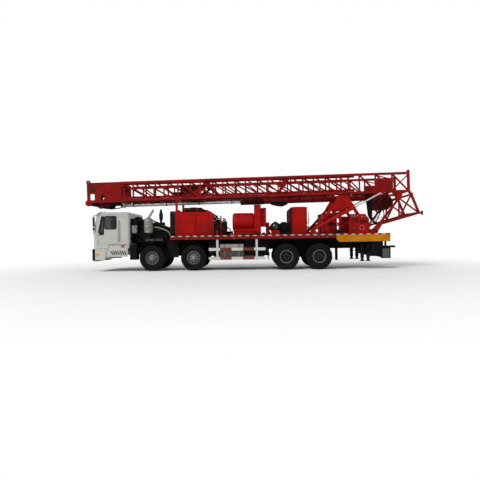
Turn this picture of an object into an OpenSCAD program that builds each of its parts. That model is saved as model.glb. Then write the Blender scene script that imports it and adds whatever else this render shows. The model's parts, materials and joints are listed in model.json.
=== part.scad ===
// Workover rig on an eight wheel truck, mast lowered for the road.
// The front is at -X, the left side at -Y, and the ground at Z = 0.

/* [Wheels] */
// Outer diameter of a tyre
tyre_od = 1125; // [1080:5:1160]
// Width of a tyre
tyre_w = 300; // [280:5:305]
// Radius of the rim where the tyre's bead sits
bead_r = 262; // [255:1:268]
// Distance of a front tyre's middle from the centre plane
front_tyre_y = 1020; // [1010:5:1040]
// Distance of a rear twin's middle from the centre plane
twin_y = 930; // [920:2:936]
// Spacing of the two tyres of a twin
twin_gap = 340; // [330:2:350]
// Running clearance round a spindle or a pin
run_gap = 0.05; // [0.02:0.01:0.1]

/* [Axles] */
// Place of the first front axle
axle1_x = -4400; // [-4420:5:-4390]
// Place of the second front axle
axle2_x = -2600; // [-2650:10:-2550]
// Place of the first rear axle
axle3_x = 1400; // [1380:5:1420]
// Place of the second rear axle
axle4_x = 2800; // [2780:5:2850]
// Distance of a kingpin from the centre plane
kingpin_y = 885; // [880:1:890]
// Radius of a kingpin
kingpin_r = 22; // [18:1:26]
// Radius of a front spindle
front_spindle_r = 35; // [30:1:40]
// Radius of a rear spindle
rear_spindle_r = 45; // [40:1:55]

/* [Frame] */
// Underside of the frame rails
rail_bottom = 880; // [870:5:890]
// Top of the frame rails
rail_top = 1150; // [1140:5:1152]
// Outer face of a frame rail
rail_y = 430; // [425:1:440]
// Front end of the frame rails
rail_front = -6900; // [-6920:10:-6880]
// Rear end of the frame rails
rail_rear = 5300; // [5280:5:5310]
// Width of a leaf spring
spring_w = 90; // [80:1:96]

/* [Cab] */
// Front face of the cab
cab_front = -6970; // [-6990:5:-6960]
// Rear face of the cab
cab_rear = -5360; // [-5370:5:-5350]
// Roof of the cab
cab_top = 2580; // [2560:5:2600]
// Lower edge of the cab and its doors
cab_bottom = 1000; // [990:5:1010]
// Lower edge of a door
door_bottom = 1200; // [1180:5:1230]
// Half of the cab's width
cab_half_w = 1225; // [1215:1:1226]
// Thickness of the cab's walls and doors
cab_wall = 60; // [50:1:70]
// Gap all round a door
door_gap = 6; // [5:0.5:8]
// Thickness of the window glass
glass_t = 8; // [6:1:12]

/* [Deck] */
// Top of the deck
deck_top = 1520; // [1515:1:1525]
// Depth of the deck's edge beams
deck_depth = 180; // [170:2:186]
// Front end of the deck
deck_front = -3600; // [-3605:1:-3590]
// Rear end of the deck's middle
deck_rear = 5300; // [5290:2:5310]
// Rear end of the side walkways
walk_rear = 5810; // [5780:5:5820]
// Half of the deck's width
deck_half_w = 1235; // [1230:1:1236]
// Thickness of the yellow side skirts
skirt_t = 15; // [10:1:15]
// Width of a side walkway past the deck's middle
walk_w = 130; // [100:5:135]
// Thickness of the deck plate
plate_t = 20; // [12:1:25]

/* [Hood] */
// Rear end of the engine hood
hood_rear = -1720; // [-1730:5:-1710]
// Top of the engine hood
hood_top = 2540; // [2520:5:2545]
// Half of the hood's width
hood_half_w = 1000; // [985:5:1010]

/* [Mast] */
// Place of the mast's hinge pin along the rig
pivot_x = 5430; // [5425:1:5435]
// Height of the mast's hinge pin
pivot_z = 1900; // [1896:1:1905]
// Radius of the mast's hinge pin
pivot_pin_r = 35; // [30:1:40]
// Slope of the lowered mast, rear end higher
mast_tilt = 1; // [0.9:0.1:1.1]
// Middle of the lower section's bottom chord above the hinge
chord_low = 1400; // [1395:1:1405]
// Middle of the lower section's top chord above the hinge
chord_high = 2170; // [2160:2:2180]
// Side of a chord tube of the lower section
chord_w = 100; // [92:2:104]
// Distance of the lower section's chords from the centre plane
chord_y = 930; // [928:1:932]
// Pitch of the lower section's posts
bay = 985; // [980:1:990]
// Side of a web tube
web_w = 60; // [50:1:64]
// Distance of the upper section's chords from the centre plane
upper_y = 795; // [790:1:800]
// Side of a chord tube of the upper section
upper_w = 90; // [80:1:92]
// Stroke of the upper section
extend_stroke = 4800; // [4500:50:4800]

/* [Cylinders] */
// Radius of a raising cylinder's barrel
raise_barrel_r = 70; // [60:1:72]
// Radius of a raising cylinder's rod
raise_rod_r = 32; // [28:1:36]
// Distance of the raising cylinders from the centre plane
raise_y = 1150; // [1148:1:1154]
// Radius of the raising cylinders' pins
raise_pin_r = 30; // [26:1:34]
// Radius of the telescoping cylinder's barrel
tele_barrel_r = 130; // [120:1:132]
// Radius of the telescoping cylinder's rod
tele_rod_r = 60; // [55:1:65]

/* [Hidden] */
$fn = 48;

left = -1;
right = 1;
axle_z = tyre_od / 2;
axle_x = [axle1_x, axle2_x, axle3_x, axle4_x];
deck_bottom = deck_top - deck_depth;
// A flat seat touches, and a round one keeps this much
seat_gap = 0.3;
// Space that moving pieces keep from fixed ones
move_gap = 5;

// Solids from flat outlines: across X, Y or Z between two places

module slab_x(x0, x1) {
  translate([x0, 0, 0]) rotate([90, 0, 90]) linear_extrude(x1 - x0) children();
}

module slab_y(y0, y1) {
  translate([0, y1, 0]) rotate([90, 0, 0]) linear_extrude(y1 - y0) children();
}

module slab_z(z0, z1) {
  translate([0, 0, z0]) linear_extrude(z1 - z0) children();
}

module block(low, high) {
  translate(low) cube(high - low);
}

// A round bar along Y between two places
module bar_y(x, z, r, y0, y1) {
  translate([x, y0, z]) rotate([-90, 0, 0]) cylinder(r = r, h = y1 - y0);
}

// A round bar along X between two places
module bar_x(y, z, r, x0, x1) {
  translate([x0, y, z]) rotate([0, 90, 0]) cylinder(r = r, h = x1 - x0);
}

module on_side(side) {
  if (side == right) children();
  else mirror([0, 1, 0]) children();
}

module both_sides() {
  children();
  mirror([0, 1, 0]) children();
}

// A straight member of a flat frame
module member(p, q, w) {
  d = q - p;
  translate(p) rotate(atan2(d[1], d[0])) translate([0, -w / 2]) square([norm(d), w]);
}

// A flat rectangle with round corners
module round_rect(x0, y0, x1, y1, r) {
  translate([x0 + r, y0]) square([x1 - x0 - 2 * r, y1 - y0]);
  translate([x0, y0 + r]) square([x1 - x0, y1 - y0 - 2 * r]);
  for (x = [x0 + r, x1 - r], y = [y0 + r, y1 - r]) translate([x, y]) circle(r);
}

// Wheels. A wheel's own frame has its axis along Z and its outer side at +Z.

module place_wheel(axle, side, y) {
  translate([axle_x[axle], side * y, axle_z])
    rotate([side == right ? -90 : 90, 0, 0]) children();
}

bead_half = tyre_w / 2 - 35;
flange_r = bead_r + 24;

module tyre_body() {
  tread_half = tyre_w / 2 - 55;
  outer = tyre_od / 2;
  // Half of the section: radius and distance from the tyre's middle
  half = [
    [bead_r, bead_half], [flange_r + 4, bead_half], [flange_r + 40, bead_half + 22],
    [outer - 165, tyre_w / 2], [outer - 80, tyre_w / 2 - 2], [outer - 25, tyre_w / 2 - 20],
    [outer - 8, tread_half + 20], [outer, tread_half]
  ];
  lower = [for (i = [len(half) - 1:-1:0]) [half[i][0], -half[i][1]]];
  rotate_extrude() polygon(concat(half, lower));
}

rim_t = 10;

// The barrel of a rim with its two flanges, as a section
module rim_section(mid) {
  r = bead_r - seat_gap;
  translate([r - rim_t, mid - bead_half - rim_t]) square([rim_t, 2 * (bead_half + rim_t)]);
  for (s = [-1, 1])
    translate([r - rim_t, mid + s * (bead_half + seat_gap + rim_t / 2) - rim_t / 2])
      square([flange_r - r + rim_t, rim_t]);
}

drum_r = 200;
hand_holes = 10;
hand_hole_r = 26;
hand_hole_pitch_r = 205;

module front_rim_body() {
  r = bead_r - seat_gap;
  hub_r = 88;
  inner_face = -60;
  difference() {
    union() {
      rotate_extrude() {
        rim_section(0);
        // The disc bulges outwards to the hub
        polygon([[r - rim_t, 20], [r - rim_t, 40], [r - 40, 62], [150, 84], [0, 84],
                 [0, 66], [150, 66], [r - 40, 46]]);
      }
      translate([0, 0, inner_face]) cylinder(r = hub_r, h = 84 - inner_face + 50);
      translate([0, 0, 134]) cylinder(r1 = hub_r - 12, r2 = hub_r - 24, h = 14);
      translate([0, 0, inner_face]) cylinder(r = drum_r, h = 90);
    }
    translate([0, 0, inner_face - 1]) cylinder(r = front_spindle_r + run_gap, h = 141);
    for (i = [0:hand_holes - 1])
      rotate(i * 360 / hand_holes) translate([hand_hole_pitch_r, 0, 40]) cylinder(r = hand_hole_r, h = 60);
  }
}

module twin_rim_body() {
  r = bead_r - seat_gap;
  half_gap = twin_gap / 2;
  inner_face = -250;
  difference() {
    union() {
      rotate_extrude() {
        for (s = [-1, 1]) {
          rim_section(s * half_gap);
          // Each disc dishes towards the flange between the two rims
          polygon([for (p = [[r - rim_t, 70], [r - rim_t, 90], [r - 45, 62], [165, 14], [60, 14],
                             [60, 0], [175, 0], [r - 35, 40]]) [p[0], s * p[1]]]);
        }
      }
      translate([0, 0, inner_face]) cylinder(r = 95, h = 420);
      translate([0, 0, 170]) cylinder(r = 110, h = 18);
      translate([0, 0, 188]) cylinder(r1 = 78, r2 = 66, h = 30);
      translate([0, 0, inner_face]) cylinder(r = drum_r, h = 200);
    }
    translate([0, 0, inner_face - 1]) cylinder(r = rear_spindle_r + run_gap, h = 401);
    for (i = [0:hand_holes - 1])
      rotate(i * 360 / hand_holes) translate([hand_hole_pitch_r, 0, 30]) cylinder(r = hand_hole_r, h = 60);
  }
}

module tyre(axle, side) {
  color("#1d1d1d") place_wheel(axle, side, front_tyre_y) tyre_body();
}

module rim(axle, side) {
  color("#8a8a84") place_wheel(axle, side, front_tyre_y) front_rim_body();
}

module tyres(axle, side) {
  color("#1d1d1d") place_wheel(axle, side, twin_y)
    for (s = [-1, 1]) translate([0, 0, s * twin_gap / 2]) tyre_body();
}

module rims(axle, side) {
  color("#5c5c5a") place_wheel(axle, side, twin_y) twin_rim_body();
}

// Axles and steering knuckles

eye_r = 42;
eye_half = 60;
ear_gap = 5;
ear_t = 30;

module knuckle(axle, side) {
  x = axle_x[axle];
  flange_y0 = front_tyre_y - 60 - move_gap - 20;
  ear_z = eye_half + ear_gap;
  color("#2b2b2b") on_side(side) {
    translate([x, kingpin_y, axle_z - ear_z - ear_t]) cylinder(r = kingpin_r, h = 2 * (ear_z + ear_t));
    for (z0 = [axle_z - ear_z - ear_t, axle_z + ear_z]) {
      translate([x, kingpin_y, z0]) cylinder(r = eye_r, h = ear_t);
      block([x - eye_r, kingpin_y, z0], [x + eye_r, flange_y0, z0 + ear_t]);
    }
    block([x - 70, flange_y0, axle_z - ear_z - ear_t], [x + 70, flange_y0 + 20, axle_z + ear_z + ear_t]);
    bar_y(x, axle_z, front_spindle_r, flange_y0, front_tyre_y + 76);
  }
}

module front_axle(x) {
  beam_half = 45;
  drop = 150;
  difference() {
    union() {
      slab_x(x - beam_half, x + beam_half)
        polygon([[-kingpin_y, axle_z + 30], [-kingpin_y, axle_z - 55], [-620, axle_z - 100],
                 [-520, axle_z - drop], [520, axle_z - drop], [620, axle_z - 100],
                 [kingpin_y, axle_z - 55], [kingpin_y, axle_z + 30], [660, axle_z + 10],
                 [540, axle_z - 40], [-540, axle_z - 40], [-660, axle_z + 10]]);
      for (s = [-1, 1])
        translate([x, s * kingpin_y, axle_z - eye_half]) cylinder(r = eye_r, h = 2 * eye_half);
    }
    for (s = [-1, 1])
      translate([x, s * kingpin_y, axle_z - 200]) cylinder(r = kingpin_r + run_gap, h = 400);
  }
}

rear_tube_r = 80;
rear_tube_end = twin_y - 250 - move_gap;

module rear_axle(x) {
  bar_y(x, axle_z, rear_tube_r, -rear_tube_end, rear_tube_end);
  bar_y(x, axle_z, rear_spindle_r, -twin_y - 148, twin_y + 148);
  translate([x, 0, axle_z]) sphere(r = 200);
  bar_x(0, axle_z + 20, 90, x - 330, x);
}

module axles() {
  color("#2b2b2b") {
    for (x = [axle1_x, axle2_x]) front_axle(x);
    for (x = [axle3_x, axle4_x]) rear_axle(x);
  }
}

spring_y0 = 411 - spring_w / 2;
spring_y1 = 411 + spring_w / 2;

module front_spring(x) {
  reach = 740;
  top = rail_bottom;
  bottom = axle_z - 40;
  slab_y(spring_y0, spring_y1) {
    polygon([[x - reach, top - 90], [x - 120, bottom + 60], [x + 120, bottom + 60], [x + reach, top - 90],
             [x + reach, top - 60], [x + 120, bottom + 150], [x - 120, bottom + 150], [x - reach, top - 60]]);
    // Saddle on the axle beam and hangers on the rail
    translate([x - 70, bottom]) square([140, 70]);
    for (s = [-1, 1]) translate([x + s * (reach - 40) - 40, top - 100]) square([80, 100]);
  }
}

module rear_spring() {
  mid = (axle3_x + axle4_x) / 2;
  seat = axle_z + rear_tube_r;
  slab_y(spring_y0, spring_y1) {
    polygon([[axle3_x - 90, seat + 40], [axle4_x + 90, seat + 40], [axle4_x + 90, seat + 65],
             [mid + 150, rail_bottom - 60], [mid - 150, rail_bottom - 60], [axle3_x - 90, seat + 65]]);
    for (x = [axle3_x, axle4_x]) translate([x - 60, seat]) square([120, 50]);
    translate([mid - 130, rail_bottom - 70]) square([260, 70]);
  }
}

module suspension() {
  color("#242424") both_sides() {
    front_spring(axle1_x);
    front_spring(axle2_x);
    rear_spring();
  }
}

// Chassis frame with the deck's subframe

sub_top = deck_bottom;
rail_flange = 75;
rail_t = 10;
cross_x = [-6400, -3500, -2000, -300, 900, 2100, 3500, 4500];

module chassis_frame() {
  inner = rail_y - rail_flange;
  color("#202020") {
    both_sides() {
      slab_x(rail_front, rail_rear)
        polygon([[inner, rail_bottom], [rail_y, rail_bottom], [rail_y, rail_top], [inner, rail_top],
                 [inner, rail_top - rail_t], [rail_y - rail_t, rail_top - rail_t],
                 [rail_y - rail_t, rail_bottom + rail_t], [inner, rail_bottom + rail_t]]);
      // Box beam of the subframe on the rail
      block([deck_front, inner, rail_top], [rail_rear, rail_y, sub_top]);
      // Rubber mounts under the cab
      for (x = [-6700, -5600]) block([x - 50, inner, rail_top], [x + 50, rail_y, cab_floor_z]);
    }
    for (x = cross_x) block([x - 40, -rail_y + rail_t, rail_bottom + 40], [x + 40, rail_y - rail_t, rail_top - 40]);
    block([rail_rear - 60, -rail_y + rail_t, rail_bottom], [rail_rear, rail_y - rail_t, sub_top - 20]);
    block([rail_front, -rail_y + rail_t, rail_bottom], [rail_front + 60, rail_y - rail_t, rail_top]);
    both_sides() jack_tubes();
    // Tow plate with its pin hole
    difference() {
      block([rail_rear, -90, hitch_z - hitch_t / 2], [rail_rear + 130, 90, hitch_z + hitch_t / 2]);
      translate([rail_rear + 70, 0, hitch_z - hitch_t]) cylinder(r = hitch_r, h = 2 * hitch_t);
    }
  }
}

hitch_z = 930;
hitch_t = 60;
hitch_r = 25;

// Cab

cab_floor_z = 1180;
cab_front_r = 190;
cab_rear_r = 110;
door_x0 = cab_front + 230;
door_x1 = cab_front + 1090;
door_top = cab_top - 120;
window_x0 = door_x0 + 300;
window_x1 = door_x1 - 50;
window_z0 = 1840;
window_z1 = door_top - 60;
door_knee_z = 1750;
door_lean = 165;
quarter_z0 = 1620;

// Side outline of the cab, drawn in by a margin
module cab_side(m) {
  x0 = cab_front + m;
  x1 = cab_rear - m;
  top = cab_top - m;
  polygon([[x0, cab_bottom], [x0, 1640 - m / 3], [x0 + 30, 1700], [x0 + 185, top - 150],
           for (a = [0:15:90]) [x0 + 395 - 210 * cos(a), top - 150 + 150 * sin(a)],
           for (a = [90:-15:0]) [x1 - 130 + 130 * cos(a), top - 130 + 130 * sin(a)],
           [x1, cab_bottom]]);
}

// Plan outline of the cab, drawn in by a margin
module cab_plan(m) {
  y = cab_half_w - m;
  x0 = cab_front + m;
  x1 = cab_rear - m;
  polygon([for (a = [180:10:270]) [x0 + cab_front_r + cab_front_r * cos(a), -y + cab_front_r + cab_front_r * sin(a)],
           for (a = [270:15:360]) [x1 - cab_rear_r + cab_rear_r * cos(a), -y + cab_rear_r + cab_rear_r * sin(a)],
           for (a = [0:15:90]) [x1 - cab_rear_r + cab_rear_r * cos(a), y - cab_rear_r + cab_rear_r * sin(a)],
           for (a = [90:10:180]) [x0 + cab_front_r + cab_front_r * cos(a), y - cab_front_r + cab_front_r * sin(a)]]);
}

module cab_form(m, z0) {
  intersection() {
    slab_y(-cab_half_w, cab_half_w) cab_side(m);
    slab_z(z0, cab_top + 10) cab_plan(m);
  }
}

// Door outline with a margin round it
module door_outline(m) {
  polygon([[door_x0 - m, door_bottom - m], [door_x0 - m, door_knee_z], [door_x0 + door_lean - m, door_top + m],
           [door_x1 + m, door_top + m], [door_x1 + m, door_bottom - m]]);
}

module window_outline(m) {
  round_rect(window_x0 - m, window_z0 - m, window_x1 + m, window_z1 + m, 60);
}

// Low quarter window ahead of the main one
module quarter_outline() {
  front = door_x0 + 50;
  rear = window_x0 - 60;
  polygon([[front + 25, quarter_z0], [rear - 20, quarter_z0], [rear, quarter_z0 + 20], [rear + 10, window_z1 - 30],
           [front + door_lean - 28, window_z1 - 30], [front, door_knee_z - 10], [front, quarter_z0 + 25]]);
}

hinge_r = 12;
hinge_pin_r = 6;
hinge_y = cab_half_w + hinge_r;
hinge_x = door_x0 - door_gap / 2;
hinge_h = 70;
hinge_z = [door_bottom + 60, 1600];

module cab_shell() {
  glass_x = cab_front + 40;
  color("#d8d6ce") {
    difference() {
      cab_form(0, cab_bottom);
      difference() {
        cab_form(cab_wall, cab_bottom - 1);
        block([cab_front, -cab_half_w, cab_floor_z], [cab_rear, cab_half_w, cab_floor_z + cab_wall]);
      }
      slab_y(-cab_half_w - 1, -cab_half_w + cab_wall + 1) door_outline(0);
      slab_y(cab_half_w - cab_wall - 1, cab_half_w + 1) door_outline(0);
      slab_x(cab_front - 10, cab_front + 330) round_rect(-1020, 1700, 1020, cab_top - 150, 70);
      slab_x(cab_rear - cab_wall - 10, cab_rear + 10) round_rect(-480, 1900, 480, 2350, 50);
      // Room for the frame rails under the rear wall
      block([cab_rear - cab_wall - 1, -500, cab_bottom - 1], [cab_rear + 1, 500, cab_floor_z]);
    }
    both_sides() for (z = hinge_z, z0 = [z - 24, z + hinge_h + 1]) {
      translate([hinge_x, hinge_y, z0]) cylinder(r = hinge_r - seat_gap, h = 23);
      block([hinge_x - 50, cab_half_w, z0], [hinge_x - door_gap / 2, hinge_y + hinge_r / 2, z0 + 23]);
    }
    both_sides() for (z = hinge_z) translate([hinge_x, hinge_y, z - 24]) cylinder(r = hinge_pin_r, h = hinge_h + 48);
  }
}

module cab_glass() {
  color("#26343a") {
    // Windscreen, in the middle of the front wall
    intersection() {
      difference() {
        cab_form(cab_wall / 2 - glass_t / 2, cab_bottom);
        cab_form(cab_wall / 2 + glass_t / 2, cab_bottom - 1);
      }
      slab_x(cab_front - 10, cab_front + 330) round_rect(-1020, 1700, 1020, cab_top - 150, 70);
    }
    slab_x(cab_rear - cab_wall / 2 - glass_t / 2, cab_rear - cab_wall / 2 + glass_t / 2)
      round_rect(-480, 1900, 480, 2350, 50);
  }
}

module door(side) {
  color("#d8d6ce") on_side(side) {
    difference() {
      slab_y(cab_half_w - cab_wall, cab_half_w) door_outline(-door_gap);
      slab_y(cab_half_w - cab_wall - 1, cab_half_w + 1) {
        window_outline(0);
        quarter_outline();
      }
    }
    for (z = hinge_z) difference() {
      union() {
        translate([hinge_x, hinge_y, z]) cylinder(r = hinge_r - seat_gap, h = hinge_h);
        block([hinge_x + door_gap / 2 + 3, cab_half_w, z], [hinge_x + 60, hinge_y + hinge_r / 2, z + hinge_h]);
        block([hinge_x, hinge_y - 4, z], [hinge_x + 20, hinge_y + 4, z + hinge_h]);
      }
      translate([hinge_x, hinge_y, z - 1]) cylinder(r = hinge_pin_r + run_gap, h = hinge_h + 2);
    }
    // Pull handle near the door's rear edge
    block([door_x1 - 260, cab_half_w, 1455], [door_x1 - 40, cab_half_w + 18, 1485]);
  }
}

module cab_interior() {
  floor_z = cab_floor_z + cab_wall;
  color("#3a3a3c") {
    both_sides() {
      slab_y(350, 850) {
        polygon([[-6150, floor_z], [-5700, floor_z], [-5700, floor_z + 350], [-6180, floor_z + 350]]);
        polygon([[-5800, floor_z + 340], [-5700, floor_z + 340], [-5560, floor_z + 1050], [-5640, floor_z + 1050]]);
      }
    }
    dash_half = cab_half_w - cab_wall - 85;
    slab_y(-dash_half, dash_half)
      polygon([[-6860, floor_z], [-6560, floor_z], [-6560, floor_z + 200], [-6500, floor_z + 420],
               [-6640, floor_z + 460], [-6860, floor_z + 430]]);
    // Steering column and wheel
    translate([-6440, -600, floor_z + 520]) rotate([0, 25, 0]) {
      rotate_extrude() translate([220, 0]) circle(r = 16, $fn = 24);
      cylinder(r = 40, h = 20);
      for (a = [90, 210, 330]) rotate(a) translate([0, -12, 0]) cube([220, 24, 14]);
      translate([0, 0, -220]) cylinder(r = 28, h = 230);
    }
  }
}

// Bumper and the white side panels under the cab

module lower_panels() {
  bump_x = cab_front - 60;
  bump_y = cab_half_w + 15;
  bump_r = 160;
  panel_y = cab_half_w - 30;
  panel_x0 = bump_x + 600;
  panel_x1 = cab_rear - 80;
  panel_z0 = 640;
  panel_z1 = door_bottom - 20;
  louvres = 7;
  louvre_pitch = 90;
  color("#d8d6ce") {
    difference() {
      slab_z(500, cab_bottom - 10) intersection() {
        translate([bump_x, -bump_y]) square([600, 2 * bump_y]);
        union() {
          translate([bump_x + bump_r, -bump_y]) square([600 - bump_r, 2 * bump_y]);
          translate([bump_x, bump_r - bump_y]) square([600, 2 * (bump_y - bump_r)]);
          for (s = [-1, 1]) translate([bump_x + bump_r, s * (bump_y - bump_r)]) circle(r = bump_r);
        }
      }
      slab_z(490, cab_bottom) translate([rail_front, 60 - bump_y]) square([700, 2 * (bump_y - 60)]);
      slab_x(bump_x - 1, bump_x + 300) {
        round_rect(-420, 560, 420, 900, 40);
        for (s = [-1, 1]) round_rect(s * 880 - 190, 640, s * 880 + 190, 860, 40);
      }
    }
    // Panel with slanted louvres, which laps over the cab's lower corner
    both_sides() difference() {
      union() {
        slab_y(cab_half_w, bump_y)
          polygon([[panel_x0 - 5, panel_z0], [panel_x1 - 30, panel_z0], [panel_x1, panel_z0 + 80],
                   [panel_x1, panel_z1 - 80], [panel_x1 - 80, panel_z1], [panel_x0 + 160, panel_z1],
                   [panel_x0 + 20, panel_z0 + 120], [panel_x0 - 5, panel_z0 + 120]]);
        slab_y(panel_y, cab_half_w + 5) translate([panel_x0 - 5, panel_z0 + 5])
          square([panel_x1 - 40 - panel_x0, cab_bottom - 20 - panel_z0]);
      }
      for (i = [0:louvres - 1]) let (x = panel_x0 + 310 + i * louvre_pitch)
        slab_y(panel_y - 5, bump_y + 1) member([x, panel_z0 + 230], [x + 40, panel_z0 + 115], 28);
    }
    both_sides() block([panel_x0 + 30, rail_y, 910], [panel_x1 - 160, panel_y + 5, cab_bottom - 30]);
  }
}

// Truck engine behind the cab, its intake and its exhaust

engine_half = rail_y - rail_flange;

stack_x = -4060;
stack_y = -820;

module engine() {
  color("#1c1c1c") {
    slab_y(-engine_half, engine_half)
      polygon([[-5300, rail_bottom + 20], [-3700, rail_bottom + 20], [-3700, 1500], [-3760, 1900], [-4300, 2080],
                               [-5300, 2150]]);
    both_sides() slab_y(engine_half, 700)
      polygon([[-5300, 1250], [-3800, 1250], [-3800, 1760], [-4200, 1900], [-5300, 2050]]);
    // Intake stack with a swollen middle, on its elbow
    translate([stack_x, stack_y, 1780]) {
      sphere(r = 62);
      rotate([-90, 0, 0]) cylinder(r = 60, h = -690 - stack_y);
      rotate_extrude()
        polygon([[0, 0], [50, 0], [50, 430], [82, 500], [86, 680], [66, 770], [45, 850], [45, 900], [0, 900]]);
    }
    // Air cleaner behind the cab
    translate([-5180, -880, 1720]) cylinder(r = 150, h = 460);
    block([-5290, -960, 1690], [-5050, -690, 1720]);
  }
}

muffler_x = -4600;
muffler_y = -910;
muffler_z = 1680;
muffler_h = 570;
muffler_r = 190;

module exhaust() {
  color("#8c8c86") {
    translate([muffler_x, muffler_y, muffler_z]) cylinder(r = muffler_r, h = muffler_h);
    // Tail pipe: up, then leaning back
    translate([muffler_x, muffler_y, muffler_z + muffler_h]) cylinder(r = 55, h = 90);
    translate([muffler_x, muffler_y, muffler_z + muffler_h + 60]) {
      sphere(r = 50);
      rotate([0, 32, 0]) cylinder(r = 46, h = 420);
    }
    block([muffler_x - 100, muffler_y - 190, 1300], [muffler_x + 640, muffler_y + 150, 1420]);
    block([muffler_x - 60, muffler_y - 50, 1420], [muffler_x + 60, muffler_y + 50, muffler_z]);
  }
}

// Guards, rails and boxes lie this far inside the deck's edge
guard_inset = 15;

module mudguards() {
  guard_r = 650;
  guard_t = 12;
  color("#1c1c1c") both_sides() {
    slab_y(740, deck_half_w - guard_inset) intersection() {
      difference() {
        translate([axle1_x, axle_z]) circle(r = guard_r + guard_t, $fn = 180);
        translate([axle1_x, axle_z]) circle(r = guard_r, $fn = 180);
      }
      translate([axle1_x - 700, axle_z + 260]) square([1400, 600]);
    }
    block([axle1_x - 40, rail_y, 1100], [axle1_x + 40, rail_y + 40, 1250]);
    block([axle1_x - 40, rail_y + 40, axle_z + guard_r + guard_t / 2],
          [axle1_x + 40, deck_half_w - guard_inset - 20, 1250]);
    block([axle1_x - 60, 770, 1250], [axle1_x + 60, 1090, 1300]);
    // Step tanks behind the cab
    slab_x(cab_rear + 10, cab_rear + 300) round_rect(760, 500, cab_half_w - 5, 1180, 60);
    block([cab_rear + 30, rail_y, 900], [cab_rear + 220, 800, 1000]);
    // Tool box behind the jacks
    slab_y(880, deck_half_w - 50) polygon([[5000, 590], [5430, 490], [5430, 1120], [5000, 1120]]);
    block([5020, rail_y, 900], [5240, 900, 1080]);
    // Flap and lamp panel behind the rear wheels
    block([5560, deck_half_w - 55, 900], [5640, deck_half_w - 15, deck_bottom]);
    block([5430, deck_half_w - 175, 450], [5800, deck_half_w + 5, 900]);
    block([5300, deck_half_w - 85, 930], [6000, deck_half_w - 15, 980]);
  }
}

tank_x0 = -1450;
tank_x1 = -440;
tank_w = 460;
tank_y = deck_half_w - 55;

module side_tanks() {
  color("#8f8f8b") both_sides() {
    slab_x(tank_x0, tank_x1) round_rect(tank_y - tank_w, 500, tank_y, 1130, 90);
    for (x = [tank_x0 + 200, tank_x1 - 200]) block([x - 40, rail_y, 900], [x + 40, tank_y - tank_w + 40, 1000]);
  }
}

guard_y = deck_half_w - guard_inset;
guard_rail_t = 30;
guard_rail_h = 120;

module side_guards() {
  color("#e2e0da") both_sides() {
    for (x = [tank_x0 - 110, tank_x1 + 570])
      block([x - 40, guard_y - guard_rail_t - 40, 460], [x + 40, guard_y - guard_rail_t, deck_bottom]);
    for (z = [460, 850]) block([tank_x0 - 480, guard_y - guard_rail_t, z], [tank_x1 + 950, guard_y, z + guard_rail_h]);
  }
}

// Deck

module deck() {
  color("#8e1812") {
    both_sides() {
      block([deck_front, deck_half_w - 80, deck_bottom], [walk_rear, deck_half_w, deck_top - plate_t]);
      block([deck_rear, deck_half_w - walk_w, deck_top - plate_t], [walk_rear, deck_half_w, deck_top]);
    }
    block([deck_front, -deck_half_w, deck_top - plate_t], [deck_rear, deck_half_w, deck_top]);
    for (i = [0:9]) let (x = deck_front + 30 + i * (deck_rear - deck_front - 120) / 9)
      block([x - 30, -deck_half_w + 80, deck_bottom], [x + 60, deck_half_w - 80, deck_top - plate_t]);
  }
}

skirt_x0 = 3530;
skirt_z0 = 1170;

module deck_skirts() {
  color("#c58a14") both_sides()
    slab_y(deck_half_w, deck_half_w + skirt_t)
      polygon([[skirt_x0 + 110, skirt_z0], [walk_rear - 10, skirt_z0], [walk_rear - 10, deck_top - 10],
               [skirt_x0, deck_top - 10], [skirt_x0, skirt_z0 + 120]]);
}

// Engine hood with its cooling pack and the front mast rest

module hood() {
  z0 = deck_top;
  color("#a81c16") {
    slab_y(-hood_half_w, hood_half_w)
      polygon([[deck_front + 190, z0], [deck_front + 190, hood_top],
               for (a = [90:-15:0]) [hood_rear - 160 + 160 * cos(a), hood_top - 160 + 160 * sin(a)],
               [hood_rear, z0]]);
  }
}

module cooling_pack() {
  x0 = deck_front;
  x1 = deck_front + 190;
  color("#1b1b1b") {
    difference() {
      slab_x(x0, x1) round_rect(-980, deck_top, 980, 2600, 120);
      bar_x(0, 2060, 460, x0 - 1, x0 + 110);
    }
    bar_x(0, 2060, 90, x0 + 20, x0 + 110);
    // Air filter box on the hood
    slab_y(-620, 620) polygon([[-3190, hood_top], [-2150, hood_top], [-2300, 2760], [-3040, 2760]]);
  }
}

// Place on the lowered mast, in the mast's own frame, as a place of the rig
module mast_place() {
  translate([pivot_x, 0, pivot_z]) rotate([0, -mast_tilt, 0]) children();
}

function mast_z(x, w) = pivot_z + w / cos(mast_tilt) + (x - pivot_x) * tan(mast_tilt);

rest_x = -3345;
saddle_x = 3895;
rest_post = 90;

module mast_rests() {
  under = chord_low - chord_w / 2 - move_gap;
  color("#a81c16") {
    both_sides() {
      block([rest_x - rest_post / 2, chord_y - rest_post / 2, hood_top],
            [rest_x + rest_post / 2, chord_y + rest_post / 2, mast_z(rest_x - rest_post / 2, under) - 1]);
    }
    block([rest_x - rest_post / 2, -chord_y, hood_top + 20], [rest_x + rest_post / 2, chord_y, hood_top + 110]);
  }
}

// Machinery behind the hood

motor_x = 970;
motor_y = -560;
motor_z = 1820;
motor_r = 250;
brake_x0 = 1130;
brake_x1 = 1575;

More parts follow.
